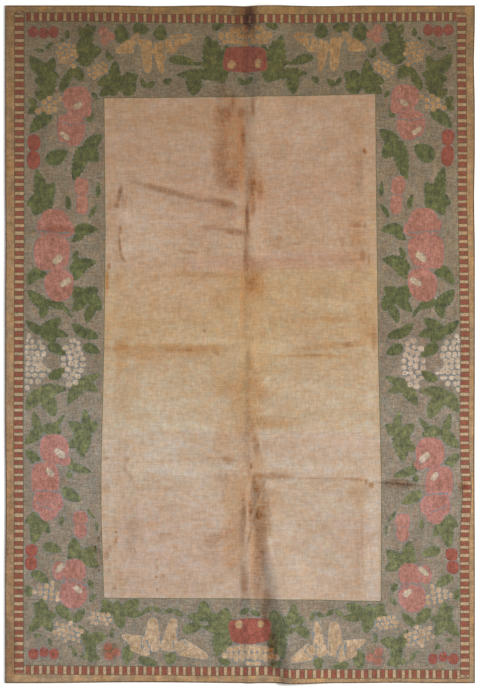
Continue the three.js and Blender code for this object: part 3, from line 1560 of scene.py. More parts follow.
@dataclass
class Pattern(Lattice):
    """Works the whole pattern out on a lattice: the figures, the borders, and the wear with its painted
    shade and highlight.
    """

    def __post_init__(self) -> None:
        """Lays the lattice's places out."""
        self.x, self.y = np.meshgrid(self.across, self.down)

    @staticmethod
    def both(outline: np.ndarray) -> list[np.ndarray]:
        """Mirrors an outline, unless it stands in the middle itself.

        Args:
            outline: an outline of the left half.

        Returns:
            It, and its fellow on the right where there is one.
        """
        other = far_side(outline)
        middle = abs(other[:, 0].mean() - outline[:, 0].mean()) < 3
        return [outline] if middle else [outline, other]

    def figures(self) -> Chart:
        """Lays out every figure, leaves first and small light petals last, up to the guard stripe.

        Returns:
            The finished chart.
        """
        chart = Chart(self.across, self.down)
        pen = Outliner()
        plan = (
            (pen.blade, HEAD_LEAVES, Dye.OLD_LEAF),
            (pen.blade, UPPER_SIDE_LEAVES, Dye.LEAF),
            (pen.blade, LOWER_SIDE_LEAVES, Dye.YOUNG_LEAF),
            (pen.blade, FOOT_LEAVES, Dye.YOUNG_LEAF),
            (pen.bunch, AMBER_BERRIES, Dye.AMBER),
            (pen.bunch, STRAW_BERRIES, Dye.STRAW),
            (pen.disc, IVORY_BERRIES, Dye.IVORY),
            (pen.pod, AMBER_PODS, Dye.AMBER),
            (pen.pod, STRAW_PODS, Dye.STRAW),
            (pen.pod, MIDDLE_FRUIT, Dye.MADDER),
            (pen.disc, AMBER_KNUCKLES, Dye.AMBER),
            (pen.disc, STRAW_KNUCKLES, Dye.STRAW),
            (pen.disc, MIDDLE_AMBER, Dye.AMBER),
            (pen.disc, MIDDLE_STRAW, Dye.STRAW),
            (pen.disc, MADDER_FRUIT, Dye.MADDER),
            (pen.disc, ROSE_FRUIT, Dye.ROSE),
            (pen.disc, CORAL_HEADS, Dye.CORAL),
            (pen.disc, IVORY_GLINTS, Dye.IVORY),
        )
        for shape, table, dye in plan:
            for row in rows(table):
                drawn = shape(*row)
                for one in drawn if shape == pen.bunch else [drawn]:
                    whole = table in (MIDDLE_FRUIT, MIDDLE_AMBER, MIDDLE_STRAW)
                    for outline in [one] if whole else self.both(one):
                        chart.lay(outline, dye, joined=shape == pen.blade)
        for ends in rows(DRAWN_LINES):
            for line in self.both(np.reshape(ends, (2, 2))):
                chart.draw(line)
        chart.edge = np.minimum(chart.edge, self.guard()[0] - GUARD_HALF)
        return chart

    def ring(self, tables: tuple[str, str, str, str]) -> np.ndarray:
        """Gives how far each place lies inside a ring of four uneven lines.

        Args:
            tables: the left, right, head and foot lines, each as places along it and across it.

        Returns:
            Four layers, one a side, in squares, over 0 inside.
        """
        x, y = self.x, self.y
        left, right, head, foot = (np.array(rows(table)).T for table in tables)
        sides = (x - np.interp(y, *left), np.interp(y, *right) - x)
        return np.stack([*sides, y - np.interp(x, *head), np.interp(x, *foot) - y])

    def guard(self) -> tuple[np.ndarray, np.ndarray]:
        """Gives the way in from the guard stripe's middle line, and the place along it.

        The stripes of the two sides run through the corners, up to the ends' outer line. Each
        side's distances are stretched so that all four stripes come out as wide as GUARD_HALF says.

        Returns:
            Both in squares.
        """
        sides = self.ring(GUARD_SIDES) * (GUARD_HALF / np.array(GUARD_HALVES))[:, None, None]
        near_side, near_end = sides[:2].min(axis=0), sides[2:].min(axis=0)
        through = (near_side < GUARD_HALF + 0.5) & (near_end > 0.8 - GUARD_HALF)
        inward = np.where(through, near_side, np.minimum(near_side, near_end))
        return inward, np.where(through | (near_side < near_end), self.y, self.x)

    def fading_and_shade(self, in_field: np.ndarray) -> np.ndarray:
        """Gives how much of each dye's primaries is left, less towards the head: partly paling with age,
        partly painted shade.

        Args:
            in_field: where the plain field is.

        Returns:
            A linear colour to multiply by.
        """
        border, plain = (
            np.stack([np.interp(self.y, places, tones) for tones in primaries], axis=-1)
            for places, *primaries in (np.array(rows(table)).T for table in (BORDER_FADING_AND_SHADE, FIELD_FADING_AND_SHADE))
        )
        return np.where(in_field[..., None], plain, border)

    def stains_and_shade(self, soil_and_shade: np.ndarray) -> np.ndarray:
        """Gives how much patches and creases, with their dirt, stains, painted shade and painted highlight,
        add to or take from each primary.

        Args:
            soil_and_shade: how much dirt and painted shade lie along the creases.

        Returns:
            The change as a share, under 0 where it takes.
        """
        # Darkens the wool along the creases: partly dirt, partly painted shade of the crease.
        tone = np.maximum(1 - soil_and_shade[..., None] * np.array(CREASE_SOIL_AND_SHADE), 0.2)
        for patch_kind, table in WEAR_AND_SHADE_PATCHES.items():
            for mid_x, mid_y, wide, high, strong, *turn in rows(table):
                middle, reach = np.array([mid_x, mid_y]), 0.5 * max(wide, high)
                place = self.window(middle - reach, middle + reach)
                right, down = turned(self.x[place] - mid_x, self.y[place] - mid_y, -sum(turn))
                share = strong * bell((right / (0.5 * wide)) ** 2 + (down / (0.5 * high)) ** 2)
                tone[place] *= 1 + share[..., None] * (np.array(patch_kind.value) - 1)
        return tone - 1


def bent(values: np.ndarray, size: int) -> np.ndarray:
    """Says how far values stray from a straight run between the corners of square cells.

    It takes the middles of each cell's sides and the cell's own, less the mean of the corners that
    they lie between.

    Args:
        values: the values at the lattice's corners, in one layer or more.
        size: the cells' side, in steps of the lattice.

    Returns:
        The largest of the five over each cell, in each layer.
    """
    half = size // 2
    corner = values[::size, ::size]
    down = np.abs(values[half::size, ::size] - (corner[:-1] + corner[1:]) / 2)
    across = np.abs(values[::size, half::size] - (corner[:, :-1] + corner[:, 1:]) / 2)
    mean = (corner[:-1, :-1] + corner[1:, :-1] + corner[:-1, 1:] + corner[1:, 1:]) / 4
    middle = np.abs(values[half::size, half::size] - mean)
    return np.max([down[:, :-1], down[:, 1:], across[:-1], across[1:], middle], axis=0)


def any_quarter(flags: np.ndarray) -> np.ndarray:
    """Joins flags four to one: set where any of a cell's quarters is."""
    lines, columns = flags.shape
    return flags.reshape(lines // 2, 2, columns // 2, 2).any(axis=(1, 3))


def near(flags: np.ndarray, size: int) -> np.ndarray:
    """Turns flags at the lattice's corners to flags over cells: set where any corner is.

    Args:
        flags: a flag for each corner.
        size: the cells' side, in steps of the lattice.

    Returns:
        A flag for each cell.
    """
    cells = flags[:-1, :-1] | flags[1:, :-1] | flags[:-1, 1:] | flags[1:, 1:]
    while size > 1:
        cells, size = any_quarter(cells), size // 2
    return cells


def quarters(flags: np.ndarray) -> np.ndarray:
    """Gives each cell's flag to its four quarters."""
    return flags.repeat(2, axis=0).repeat(2, axis=1)


def spread(flags: np.ndarray) -> np.ndarray:
    """Widens flags by the cells that share a side with a set one."""
    wide = np.pad(flags, 1)
    return flags | wide[:-2, 1:-1] | wide[2:, 1:-1] | wide[1:-1, :-2] | wide[1:-1, 2:]


@dataclass
class QuarteredGrid:
    """A grid whose cells are cut in four, again and again, where detail asks for it.

    Neighbours differ by one cut at most, so that a side has one extra corner at most.
    """

    roots: tuple[int, int]
    cuts: int = 4

    def faces(self, wanted: dict[int, np.ndarray]) -> tuple[np.ndarray, list[np.ndarray], list[np.ndarray]]:
        """Cuts the grid.

        Args:
            wanted: for a number of cuts, flags over cells of that size which have to be there.

        Returns:
            The lattice of used corners, and each level's faces as corner numbers with flags for
            the corners that count.
        """
        lines, columns = (count << self.cuts for count in self.roots)
        split: dict[int, np.ndarray] = {}
        finer = np.zeros((lines, columns), bool)
        for level in range(self.cuts, 0, -1):
            asked = wanted.get(level, np.zeros(finer.shape, bool))
            finer = any_quarter(asked | (spread(finer) if level < self.cuts else finer))
            split[level - 1] = finer
        there = np.ones(self.roots, bool)
        used = np.zeros((lines + 1, columns + 1), bool)
        cells = []
        for level in range(self.cuts + 1):
            cut = split.get(level, np.zeros(there.shape, bool))
            size = 1 << (self.cuts - level)
            down, across = (np.argwhere(there & ~cut) * size).T
            cells.append((down, across, size))
            there = quarters(there & cut)
            for step_down, step_across in ((0, 0), (0, size), (size, size), (size, 0)):
                used[down + step_down, across + step_across] = True
        number = np.cumsum(used.ravel()).reshape(used.shape) - 1
        loops, counted = [], []
        for down, across, size in cells:
            half = size // 2
            steps_down = np.array([0, half, size, size, size, half, 0, 0])[:: 1 if half else 2]
            steps_across = np.array([0, 0, 0, half, size, size, size, half])[:: 1 if half else 2]
            corners = (down[:, None] + steps_down, across[:, None] + steps_across)
            loops.append(number[corners])
            counted.append(used[corners])
        return used, loops, counted


Socket = bpy.types.NodeSocket
# Sockets of the Mix node when it mixes colours.
SHARE, FIRST, SECOND, MIXED = 0, 6, 7, 2
# How far a noise goes up and down from a half over most of its places.
NOISE_REACH = 0.2


class Nodes:
    """One material's nodes."""

    def __init__(self, name: str) -> None:
        """Starts a material.

        Args:
            name: what the material is called.
        """
        self.material = bpy.data.materials.new(name)
        self.material.use_nodes = True
        self.tree = self.material.node_tree
        self.tree.nodes.clear()

    @cached_property
    def place(self) -> Socket:
        """Gives the place on the piece that the textures go by."""
        return self.add("TexCoord", out="Object")

    def add(self, kind: str, inputs: dict | tuple = (), out: str | int = 0, **settings: object) -> Socket:
        """Adds a node with its settings and links.

        Args:
            kind: the node's type, without the start that all types share.
            inputs: values to set or sockets to link, by the input's name or number, or in order.
            out: the name or number of the output to give back.
            settings: the node's own properties.

        Returns:
            That output.
        """
        node = self.tree.nodes.new("ShaderNode" + kind)
        for name, value in settings.items():
            setattr(node, name, value)
        for key, value in inputs.items() if isinstance(inputs, dict) else enumerate(inputs):
            if isinstance(value, Socket):
                self.tree.links.new(value, node.inputs[key])
            else:
                node.inputs[key].default_value = value
        return node.outputs[out]

    def surface(self, inputs: dict) -> bpy.types.Material:
        """Gives the material its one shader.

        Args:
            inputs: the shader's values and sockets, by name.

        Returns:
            The finished material.
        """
        shader = self.add("BsdfPrincipled", inputs)
        output = self.tree.nodes.new("ShaderNodeOutputMaterial")
        self.tree.links.new(shader, output.inputs["Surface"])
        return self.material

    def share(self, value: Socket, low: float, high: float) -> Socket:
        """Gives 0 where a value is at low or beyond, 1 at high, and runs straight between."""
        return self.add("MapRange", (value, low, high), clamp=True)

    def line(self, value: Socket, half: float) -> Socket:
        """Gives 1 on a line where a distance is 0, of half that width, and 0 off it."""
        return self.share(self.add("Math", (value,), operation="ABSOLUTE"), half + 0.7, half - 0.7)

    def over(self, share: Socket, under: Socket | tuple, upper: Socket | tuple) -> Socket:
        """Lays one colour over another by a share."""
        return self.add("Mix", {SHARE: share, FIRST: under, SECOND: upper}, MIXED, data_type="RGBA")

    def mottled(self, colour: Socket | tuple, *tables: tuple) -> Socket:
        """Makes a colour lighter and darker, and its hue different, in patches of several sizes.

        Args:
            colour: the colour to vary.
            tables: rows of a patch's width and height in millimetres, and of how far red, green and
                blue go up, and down, over most of the patches.

        Returns:
            The varied colour.
        """
        colour = colour if isinstance(colour, Socket) else colour[:3]
        for wide, high, *swing in sum(tables, start=[]):
            across, along = 1 / (wide * MM), 1 / (high * MM)
            scaled = self.add("Mapping", {"Vector": self.place, "Scale": (across, along, across)})
            noise = self.add("TexNoise", {"Vector": scaled, "Scale": 1.0, "Detail": 2.0})
            slope = [part / NOISE_REACH for part in swing]
            level = [1 - 0.5 * part for part in slope]
            tint = self.add("VectorMath", (noise, slope, level), operation="MULTIPLY_ADD")
            colour = self.add("VectorMath", (colour, tint), operation="MULTIPLY")
        return colour


# How the dyes vary over the rug: the patches' size in millimetres, and how far each primary swings.
# Unequal swings change the hue.
FIELD_MOTTLES = """
across along red green blue
90 9 0.07 0.08 0.09
10 60 0.06 0.07 0.08
60 45 0.02 -0.05 -0.14
28 22 0.08 0.1 0.12
14 12 0.04 -0.03 -0.08
200 90 0.05 0.08 0.12
"""
# Breaks up the layer of stains, painted shade and painted highlight.
STAIN_AND_SHADE_MOTTLES = """
across along red green blue
40 8 0.16 0.16 0.16
9 40 0.22 0.22 0.22
16 16 0.18 0.18 0.18
"""
GROUND_MOTTLES = """
across along red green blue
45 9 0.18 0.18 0.18
9 45 0.14 0.14 0.14
17 15 0.14 0.14 0.14
40 60 0.08 -0.01 -0.08
110 160 0.12 0.13 0.16
"""
LEAF_MOTTLES = """
across along red green blue
12 14 0.22 0.22 0.22
10 36 0.2 0.2 0.18
34 30 0.34 0.3 0.22
95 120 0.12 0.12 0.16
"""
CAMEL_MOTTLES = """
across along red green blue
30 90 0.16 0.18 0.2
90 30 0.18 0.18 0.18
70 110 0.14 0.04 -0.12
"""
FIGURE_MOTTLES = """
across along red green blue
10 40 0.16 0.17 0.18
16 15 0.1 0.1 0.1
28 24 0.16 0.18 0.18
95 120 0.1 0.12 0.18
"""
GUARD_MOTTLES = """
across along red green blue
18 18 0.18 0.18 0.18
6 6 0.3 0.3 0.3
60 60 0.08 0 -0.04
"""


@dataclass(frozen=True)
class KnottedWool:
    """Hand-spun wool knotted on cotton warps and sheared low.

    Cut tips scatter light every way, so the pile is matt with a faint sheen at a low angle. Each
    dye lot took a little differently, and age has left it blotchy.
    """

    name: str = "hand-knotted wool pile, vegetable dyed, sheared low"
    camel: str = "#947756"
    ground: str = "#7b6f5d"
    plain: str = "#a7927e"
    seam: str = "#667275"
    guard_madder: str = "#7d4533"
    guard_cream: str = "#a28869"
    guard_line: str = "#4c4a33"
    field_line: str = "#565a38"
    # How far knots stray over an edge of the pattern, in millimetres: single knots and whole rows.
    stray: tuple[float, float] = (3.4, 3.0)
    stray_sizes: tuple[float, float] = (7 * MM, 26 * MM)
    # What share of that the edges of the guard stripe and the field have.
    border_stray: float = 0.45
    # The red, in linear light, that parts leaves from light figures, and the one by which the light
    # line round a figure comes in.
    leaf_red: tuple[float, float] = (0.14, 0.18)
    seam_red: tuple[float, float] = (-0.2, 0.3)
    # Lines round the light figures, round the field and in the guard stripe, in millimetres.
    seam_out: float = 1.5
    seam_in: float = 1.3
    line_half: float = 2.3
    # How far the guard's blocks wander: over what length in millimetres, and by which share of one.
    wander: tuple[float, float] = (70, 0.4)
    # A knot is 2.92 mm across, too fine to show, so it is drawn over two. The plain field is even,
    # and the pattern's many dyes are less so.
    grain: float = 2 * KNOT
    plain_grain: float = 0.12
    pattern_grain: float = 0.26
    sheen: float = 0.25
    bump: float = 0.35

    def material(self) -> bpy.types.Material:
        """Builds the nodes: the zones' colours, paled with age, stained and given painted shade and painted
        highlight, over knots as bump.

        Returns:
            The material.
        """
        nodes = Nodes(self.name)
        add = nodes.add
        fade_and_shade = add("Attribute", out="Vector", attribute_name="fade_and_shade")
        stain_and_shade = add("Attribute", out="Vector", attribute_name="stain_and_shade")
        uneven = nodes.mottled((1.0, 1.0, 1.0), rows(STAIN_AND_SHADE_MOTTLES))
        stain_and_shade_tone = add("VectorMath", (stain_and_shade, uneven, (1.0, 1.0, 1.0)), operation="MULTIPLY_ADD")
        # The tone layers multiplied in here carry painted shade and painted highlight as well as age and
        # stains.
        worn = add("VectorMath", (self.zones(nodes), fade_and_shade), operation="MULTIPLY")
        worn = add("VectorMath", (worn, stain_and_shade_tone), operation="MULTIPLY")
        knots = add("TexNoise", {"Vector": nodes.place, "Scale": 1 / self.grain, "Detail": 2.0})
        return nodes.surface(
            {
                "Base Color": worn,
                "Roughness": 0.95,
                "Specular IOR Level": 0.15,
                "Sheen Weight": self.sheen,
                "Sheen Roughness": 0.6,
                "Normal": add("Bump", {"Strength": self.bump, "Distance": 1.5 * MM, "Height": knots}),
            }
        )

    def zones(self, nodes: Nodes) -> Socket:
        """Mixes the pattern's colours zone over zone, from the ground up.

        Zones are shares from 0 to 1 over a millimetre or two at their edges, which all stray over
        by the same millimetres.

        Args:
            nodes: the material's nodes.

        Returns:
            The colour before wear and painted shade.
        """
        add, share, over, mottled = nodes.add, nodes.share, nodes.over, nodes.mottled
        single, in_rows = (
            add("TexNoise", {"Vector": nodes.place, "Scale": 1 / size, "Detail": detail})
            for size, detail in zip(self.stray_sizes, (1.0, 0.0))
        )
        stray = add("Math", (single, self.stray[0], -sum(self.stray) / 2), operation="MULTIPLY_ADD")
        stray = add("Math", (in_rows, self.stray[1], stray), operation="MULTIPLY_ADD")
        some_stray = add("Math", (stray, self.border_stray), operation="MULTIPLY")
        bands = add("Attribute", out="Vector", attribute_name="bands")
        inward, along, in_field = add("SeparateXYZ", (bands,)).node.outputs
        inward = add("Math", (inward, some_stray), operation="ADD")
        in_field = add("Math", (in_field, some_stray), operation="ADD")
        fine = self.grain / MM
        plain_knots = [(fine, fine, *3 * (self.plain_grain,))]
        knots = [(1.4 * fine, 1.4 * fine, *3 * (self.pattern_grain,))]
        colour = mottled(linear(self.camel), rows(CAMEL_MOTTLES), knots)
        ground = mottled(linear(self.ground), rows(GROUND_MOTTLES), knots)
        plain = mottled(linear(self.plain), rows(FIELD_MOTTLES), plain_knots)
        colour = over(share(inward, -1.0, 1.0), colour, ground)
        colour = over(share(in_field, -1.0, 1.0), colour, plain)
        colour = over(nodes.line(in_field, 0.8 * self.line_half), colour, linear(self.field_line))
        in_guard = nodes.line(inward, GUARD_HALF * SQUARE / MM + self.line_half / 2)
        colour = over(in_guard, colour, self.guard(nodes, along, inward))
        figure = add("Attribute", out="Fac", attribute_name="figure_edge")
        figure = add("Math", (figure, stray), operation="ADD")
        dye = add("Attribute", out="Color", attribute_name="figure_dye")
        red = add("SeparateColor", (dye,))
        petal = mottled(dye, rows(FIGURE_MOTTLES), knots)
        dyed = over(share(red, *self.leaf_red[::-1]), petal, mottled(dye, rows(LEAF_MOTTLES), knots))
        light = share(red, *self.seam_red)
        seam = share(figure, -self.seam_out - 0.8, -self.seam_out + 0.8)
        seam = add("Math", (seam, light), operation="MULTIPLY")
        shrunk = add("Math", (light, -self.seam_in, figure), operation="MULTIPLY_ADD")
        colour = over(seam, colour, linear(self.seam))
        return over(share(shrunk, -0.8, 0.8), colour, dyed)

    def guard(self, nodes: Nodes, along: Socket, inward: Socket) -> Socket:
        """Colours the guard stripe: red and cream blocks, lined in dark green.

        The way along is counted in blocks, with a slow wander so that no two are quite alike. The
        count's fraction less a half is under half of the red share inside a red block.

        Args:
            nodes: the material's nodes.
            along: the way along the stripe, in millimetres.
            inward: the way in from its middle line.

        Returns:
            The colour.
        """
        add, dark = nodes.add, linear(self.guard_line)
        length, far = self.wander
        wander = add("TexNoise", {"W": along, "Scale": 1 / length, "Detail": 2.0}, noise_dimensions="1D")
        slow = add("Math", (wander, far, -far / 2), operation="MULTIPLY_ADD")
        period, half_red = GUARD_PERIOD * SQUARE / MM, GUARD_RED_SHARE / 2
        count = add("Math", (along, 1 / period, slow), operation="MULTIPLY_ADD")
        off = add("Math", (add("Math", (count,), operation="FRACT"), 0.5), operation="SUBTRACT")
        off = add("Math", (off,), operation="ABSOLUTE")
        red = nodes.share(off, half_red + 0.015, half_red - 0.015)
        blocks = nodes.over(red, linear(self.guard_cream), linear(self.guard_madder))
        blocks = nodes.mottled(blocks, rows(GUARD_MOTTLES))
        to_line = add("Math", (off, half_red), operation="SUBTRACT")
        to_line = add("Math", (to_line, period), operation="MULTIPLY")
        blocks = nodes.over(nodes.line(to_line, 0.8 * self.line_half), blocks, dark)
        to_side = add("Math", (inward,), operation="ABSOLUTE")
        to_side = add("Math", (to_side, GUARD_HALF * SQUARE / MM), operation="SUBTRACT")
        return nodes.over(nodes.line(to_side, self.line_half), blocks, dark)


@dataclass(frozen=True)
class YarnWhipping:
    """Brown wool yarn wound tightly round the outer warps.

    The turns catch the light one by one, and the yarn is rubbed paler where it stands out.
    """

    name: str = "brown wool yarn, wound as whipping"
    dark: str = "#3c2d1d"
    light: str = "#765b3e"
    turn: float = 8 * MM

    def material(self) -> bpy.types.Material:
        """Builds the nodes: a noise one turn wide mixes rubbed yarn over dark, with fibres as bump.

        Returns:
            The material.
        """
        nodes = Nodes(self.name)
        rubbed, dusty, fibres = (
            nodes.add("TexNoise", {"Vector": nodes.place, "Scale": 1 / size, "Detail": detail})
            for size, detail in ((self.turn, 3.0), (90 * MM, 2.0), (1.5 * MM, 2.0))
        )
        worn = nodes.share(nodes.add("Math", (rubbed, dusty), operation="MULTIPLY"), 0.12, 0.42)
        return nodes.surface(
            {
                "Base Color": nodes.over(worn, linear(self.dark), linear(self.light)),
                "Roughness": 0.9,
                "Specular IOR Level": 0.2,
                "Sheen Weight": 0.2,
                "Normal": nodes.add("Bump", {"Strength": 0.4, "Distance": 0.5 * MM, "Height": fibres}),
            }
        )


@dataclass(frozen=True)
class PaleFloor:
    """Matt white paper on the studio floor. It gives no gloss, only a clean white."""

    name: str = "matt white studio paper"
    colour: str = "#f6f5f3"

    def material(self) -> bpy.types.Material:
        """Builds the one shader, plain and rough."""
        look = {"Base Color": linear(self.colour), "Roughness": 0.9, "Specular IOR Level": 0.1}
        return Nodes(self.name).surface(look)


def new_mesh(name: str, corners: np.ndarray, loops: np.ndarray, starts: np.ndarray) -> bpy.types.Object:
    """Puts a surface worked out as arrays into a new mesh object at the origin.

    Args:
        name: the object's name.
        corners: the corners' places, a row each.
        loops: the faces' corner numbers, face after face.
        starts: where each face starts in loops.

    Returns:
        The object, linked to the scene.
    """
    mesh = bpy.data.meshes.new(name)
    mesh.vertices.add(len(corners))
    mesh.vertices.foreach_set("co", corners.astype(np.float32).ravel())
    mesh.loops.add(len(loops))
    mesh.loops.foreach_set("vertex_index", loops.astype(np.int32))
    mesh.polygons.add(len(starts))
    mesh.polygons.foreach_set("loop_start", starts.astype(np.int32))
    mesh.polygons.foreach_set("use_smooth", np.ones(len(starts), bool))
    mesh.update(calc_edges=True)
    mesh.validate()
    return in_scene(name, mesh)


def in_scene(name: str, data: bpy.types.ID) -> bpy.types.Object:
    """Puts something in the scene.

    Args:
        name: the object's name.
        data: its mesh, lamp or camera.

    Returns:
        The object.
    """
    made = bpy.data.objects.new(name, data)
    bpy.context.scene.collection.objects.link(made)
    return made


def triangles(piece: bpy.types.Object) -> int:
    """Counts a piece's triangles: each face has two fewer than its corners."""
    return len(piece.data.loops) - 2 * len(piece.data.polygons)


@dataclass
class PileCloth:
    """The rug itself, woven in one piece: the pile above, the knotted back below, a thin rim round."""

    half_width: float = 1365.2 * MM
    half_length: float = 1972.7 * MM
    # Root cells along and across, each cut in four up to four times.
    roots: tuple[int, int] = (46, 32)
    cuts: int = 4
    pile: KnottedWool = KnottedWool()
    back: KnottedWool = KnottedWool(
        name="knotted back of the wool pile, flat and close",
        stray=(2.0, 2.0),
        seam_out=-1.5,
        seam_in=0.0,
        pattern_grain=0.25,
        sheen=0.05,
        bump=0.5,
    )
    # How far a straight run may stray: an outline, above and on the back, and the guard's and the
    # field's bands in squares, a dye's primaries, and a tone as a share and a height with one value
    # for most cells and one for the smallest.
    stray_edge: float = 0.42
    stray_back: float = 2.1
    stray_guard: float = 0.4
    stray_field: float = 0.3
    stray_dye: float = 0.05
    stray_tone: tuple[float, float] = (0.035, 0.09)
    stray_height: tuple[float, float] = (0.5 * MM, 1.0 * MM)
    lie: Lie = field(init=False)

    def __post_init__(self) -> None:
        """Sets out the lattice that everything is worked out on."""
        self.lie = Lie(self.half_width, self.half_length)
        self.lines, self.columns = (count << self.cuts for count in self.roots)
        self.x_lines = np.linspace(-self.half_width, self.half_width, self.columns + 1)
        self.y_lines = np.linspace(self.half_length, -self.half_length, self.lines + 1)

    def wanted(
        self, chart: Chart, bands: np.ndarray, tone: np.ndarray, height: np.ndarray
    ) -> dict[int, np.ndarray]:
        """Says how small the pile's cells have to be: cut wherever a straight run would stray.

        Outlines count near themselves alone, dyes inside figures, and the guard's bands near it.
        Cells of two cuts lie round the rim, and cells of one cut everywhere.

        Args:
            chart: the figures.
            bands: the way in from the guard, the way along it, and the way into the field.
            tone: how much of the dyes is left, with painted shade and painted highlight.
            height: the height of the pile's tips.

        Returns:
            Flags over the cells for each number of cuts.
        """
        inner = self.inside_rim()
        whole = np.ones([count << 1 for count in self.roots], bool)
        rim_free = {1: whole, 2: quarters(whole), 3: quarters(inner), 4: quarters(quarters(inner))}
        wanted = {}
        for level in range(self.cuts, 0, -1):
            size, small = 2 << (self.cuts - level), int(level == self.cuts)
            # Each row: values in layers, how far they may stray, and the places where they count.
            tests = (
                (chart.edge[..., None], self.stray_edge, np.abs(chart.edge) < 0.4),
                (chart.dye[..., :3], self.stray_dye, chart.edge > 0),
                (bands[..., :2], self.stray_guard, np.abs(bands[..., 0]) < GUARD_HALF + 1.2),
                (bands[..., 2:], self.stray_field, np.abs(bands[..., 2]) < 1.0),
                (tone, self.stray_tone[small], chart.edge < np.inf),
                (height[..., None], self.stray_height[small], chart.edge < np.inf),
            )
            asked = [
                (bent(values, size).max(axis=-1) > most) & near(there, size)
                for values, most, there in tests
            ]
            wanted[level] = quarters(np.any(asked, axis=0)) & rim_free[level]
        wanted[2] |= ~inner
        wanted[1][:] = True
        return wanted

    def wanted_below(self, chart: Chart, fold: np.ndarray) -> dict[int, np.ndarray]:
        """Says how small the back's cells have to be: two cuts round the rim, on folds and outlines.

        Args:
            chart: the figures.
            fold: the height of the folds.

        Returns:
            Flags over the cells for each number of cuts.
        """
        asked = []
        for size in (16, 8):
            outline = (bent(chart.edge, size) > self.stray_back) & near(np.abs(chart.edge) < 0.6, size)
            asked.append(quarters(outline | (bent(fold, size) > self.stray_height[0])))
        return {1: asked[0], 2: asked[1] | ~self.inside_rim()}

    def inside_rim(self) -> np.ndarray:
        """Tells the rim's cells from the others.

        Returns:
            Flags over the cells of two cuts, set where they lie two or more from the rim.
        """
        inner = np.zeros([count << 2 for count in self.roots], bool)
        inner[2:-2, 2:-2] = True
        return inner

    def build(self) -> bpy.types.Object:
        """Builds the closed cloth with its pattern as attributes.

        The pile's tips stand at the height of folds, creases and pile, and the back at the folds'
        height, flat on the floor elsewhere. The rim joins the two outer rings of corners.

        Returns:
            The cloth.
        """
        pattern = Pattern(*to_chart(self.x_lines, self.y_lines))
        chart = pattern.figures()
        x, y = np.meshgrid(self.x_lines, self.y_lines)
        fold = self.lie.folds(x, y)
        crease, soil_and_shade = self.lie.creases(x, y)
        pile_z = fold + np.maximum(crease, -3 * MM) + PILE_HEIGHT
        in_field = pattern.ring(FIELD_SIDES).min(axis=0)
        bands = np.stack([*pattern.guard(), in_field], axis=-1)
        # These tone layers hold painted shade towards the head and along folds and creases, and painted
        # highlight on crease crests.
        fade_and_shade, stain_and_shade = pattern.fading_and_shade(in_field > 0), pattern.stains_and_shade(soil_and_shade)
        grid = QuarteredGrid(self.roots, self.cuts)
        top = grid.faces(self.wanted(chart, bands, fade_and_shade + stain_and_shade, pile_z))
        back = grid.faces(self.wanted_below(chart, fold))
        place = np.stack(self.lie.settle(x, y), axis=-1)
        corners, loops, sizes, slots = [], [], [], []
        for slot, ((used, faces, counted), height) in enumerate(((top, pile_z), (back, fold))):
            # The back's corners run the other way round, so that it faces down.
            order = slice(None, None, 1 - 2 * slot)
            for numbers, flags in zip(faces, counted):
                loops.append(numbers[:, order][flags[:, order]] + sum(map(len, corners)))
                sizes.append(flags.sum(axis=1))
                slots.append(np.full(len(numbers), slot))
            corners.append(np.concatenate([place[used], height[used][:, None]], axis=1))
        rim = self.rim_loops(top[0], back[0])
        loops.append(rim.ravel())
        sizes.append(np.full(len(rim), 4))
        slots.append(np.zeros(len(rim), int))
        starts = np.concatenate([[0], np.cumsum(np.concatenate(sizes))[:-1]])
        rug = new_mesh("wool_rug_cloth", np.concatenate(corners), np.concatenate(loops), starts)
        rug.data.polygons.foreach_set("material_index", np.concatenate(slots).astype(np.int32))
        rug.data.set_sharp_from_angle(angle=math.radians(60))
        layers = {
            "figure_edge": ("FLOAT", "value", chart.edge[..., None] * (SQUARE / MM)),
            "figure_dye": ("FLOAT_COLOR", "color", chart.dye),
            "bands": ("FLOAT_VECTOR", "vector", bands * (SQUARE / MM)),
            "fade_and_shade": ("FLOAT_VECTOR", "vector", fade_and_shade),
            "stain_and_shade": ("FLOAT_VECTOR", "vector", stain_and_shade),
        }
        for name, (kind, key, values) in layers.items():
            picked = np.concatenate([values[top[0]], values[back[0]]])
            attribute = rug.data.attributes.new(name, kind, "POINT")
            attribute.data.foreach_set(key, picked.astype(np.float32).ravel())
        return rug

    def rim_loops(self, top_used: np.ndarray, back_used: np.ndarray) -> np.ndarray:
        """Joins the outer rings of pile and back corners with four-sided faces.

        Args:
            top_used: the lattice corners that the pile has.
            back_used: those that the back has, numbered on from the pile's.

        Returns:
            Corner numbers, a row a face, outward side out.
        """
        lines, columns, step = self.lines, self.columns, 1 << (self.cuts - 2)
        down, across = np.arange(0, lines, step), np.arange(0, columns, step)
        ring_down = np.concatenate([down, 0 * across + lines, lines - down, 0 * across])
        ring_across = np.concatenate([0 * down, across, 0 * down + columns, columns - across])
        top, back = (
            (np.cumsum(used.ravel()).reshape(used.shape) - 1)[ring_down, ring_across]
            for used in (top_used, back_used)
        )
        back = back + top_used.sum()
        return np.stack([back, np.roll(back, -1), np.roll(top, -1), top], axis=1)

    def dress(self, rug: bpy.types.Object) -> None:
        """Gives the cloth its pile above and its knotted back below."""
        rug.data.materials.append(self.pile.material())
        rug.data.materials.append(self.back.material())


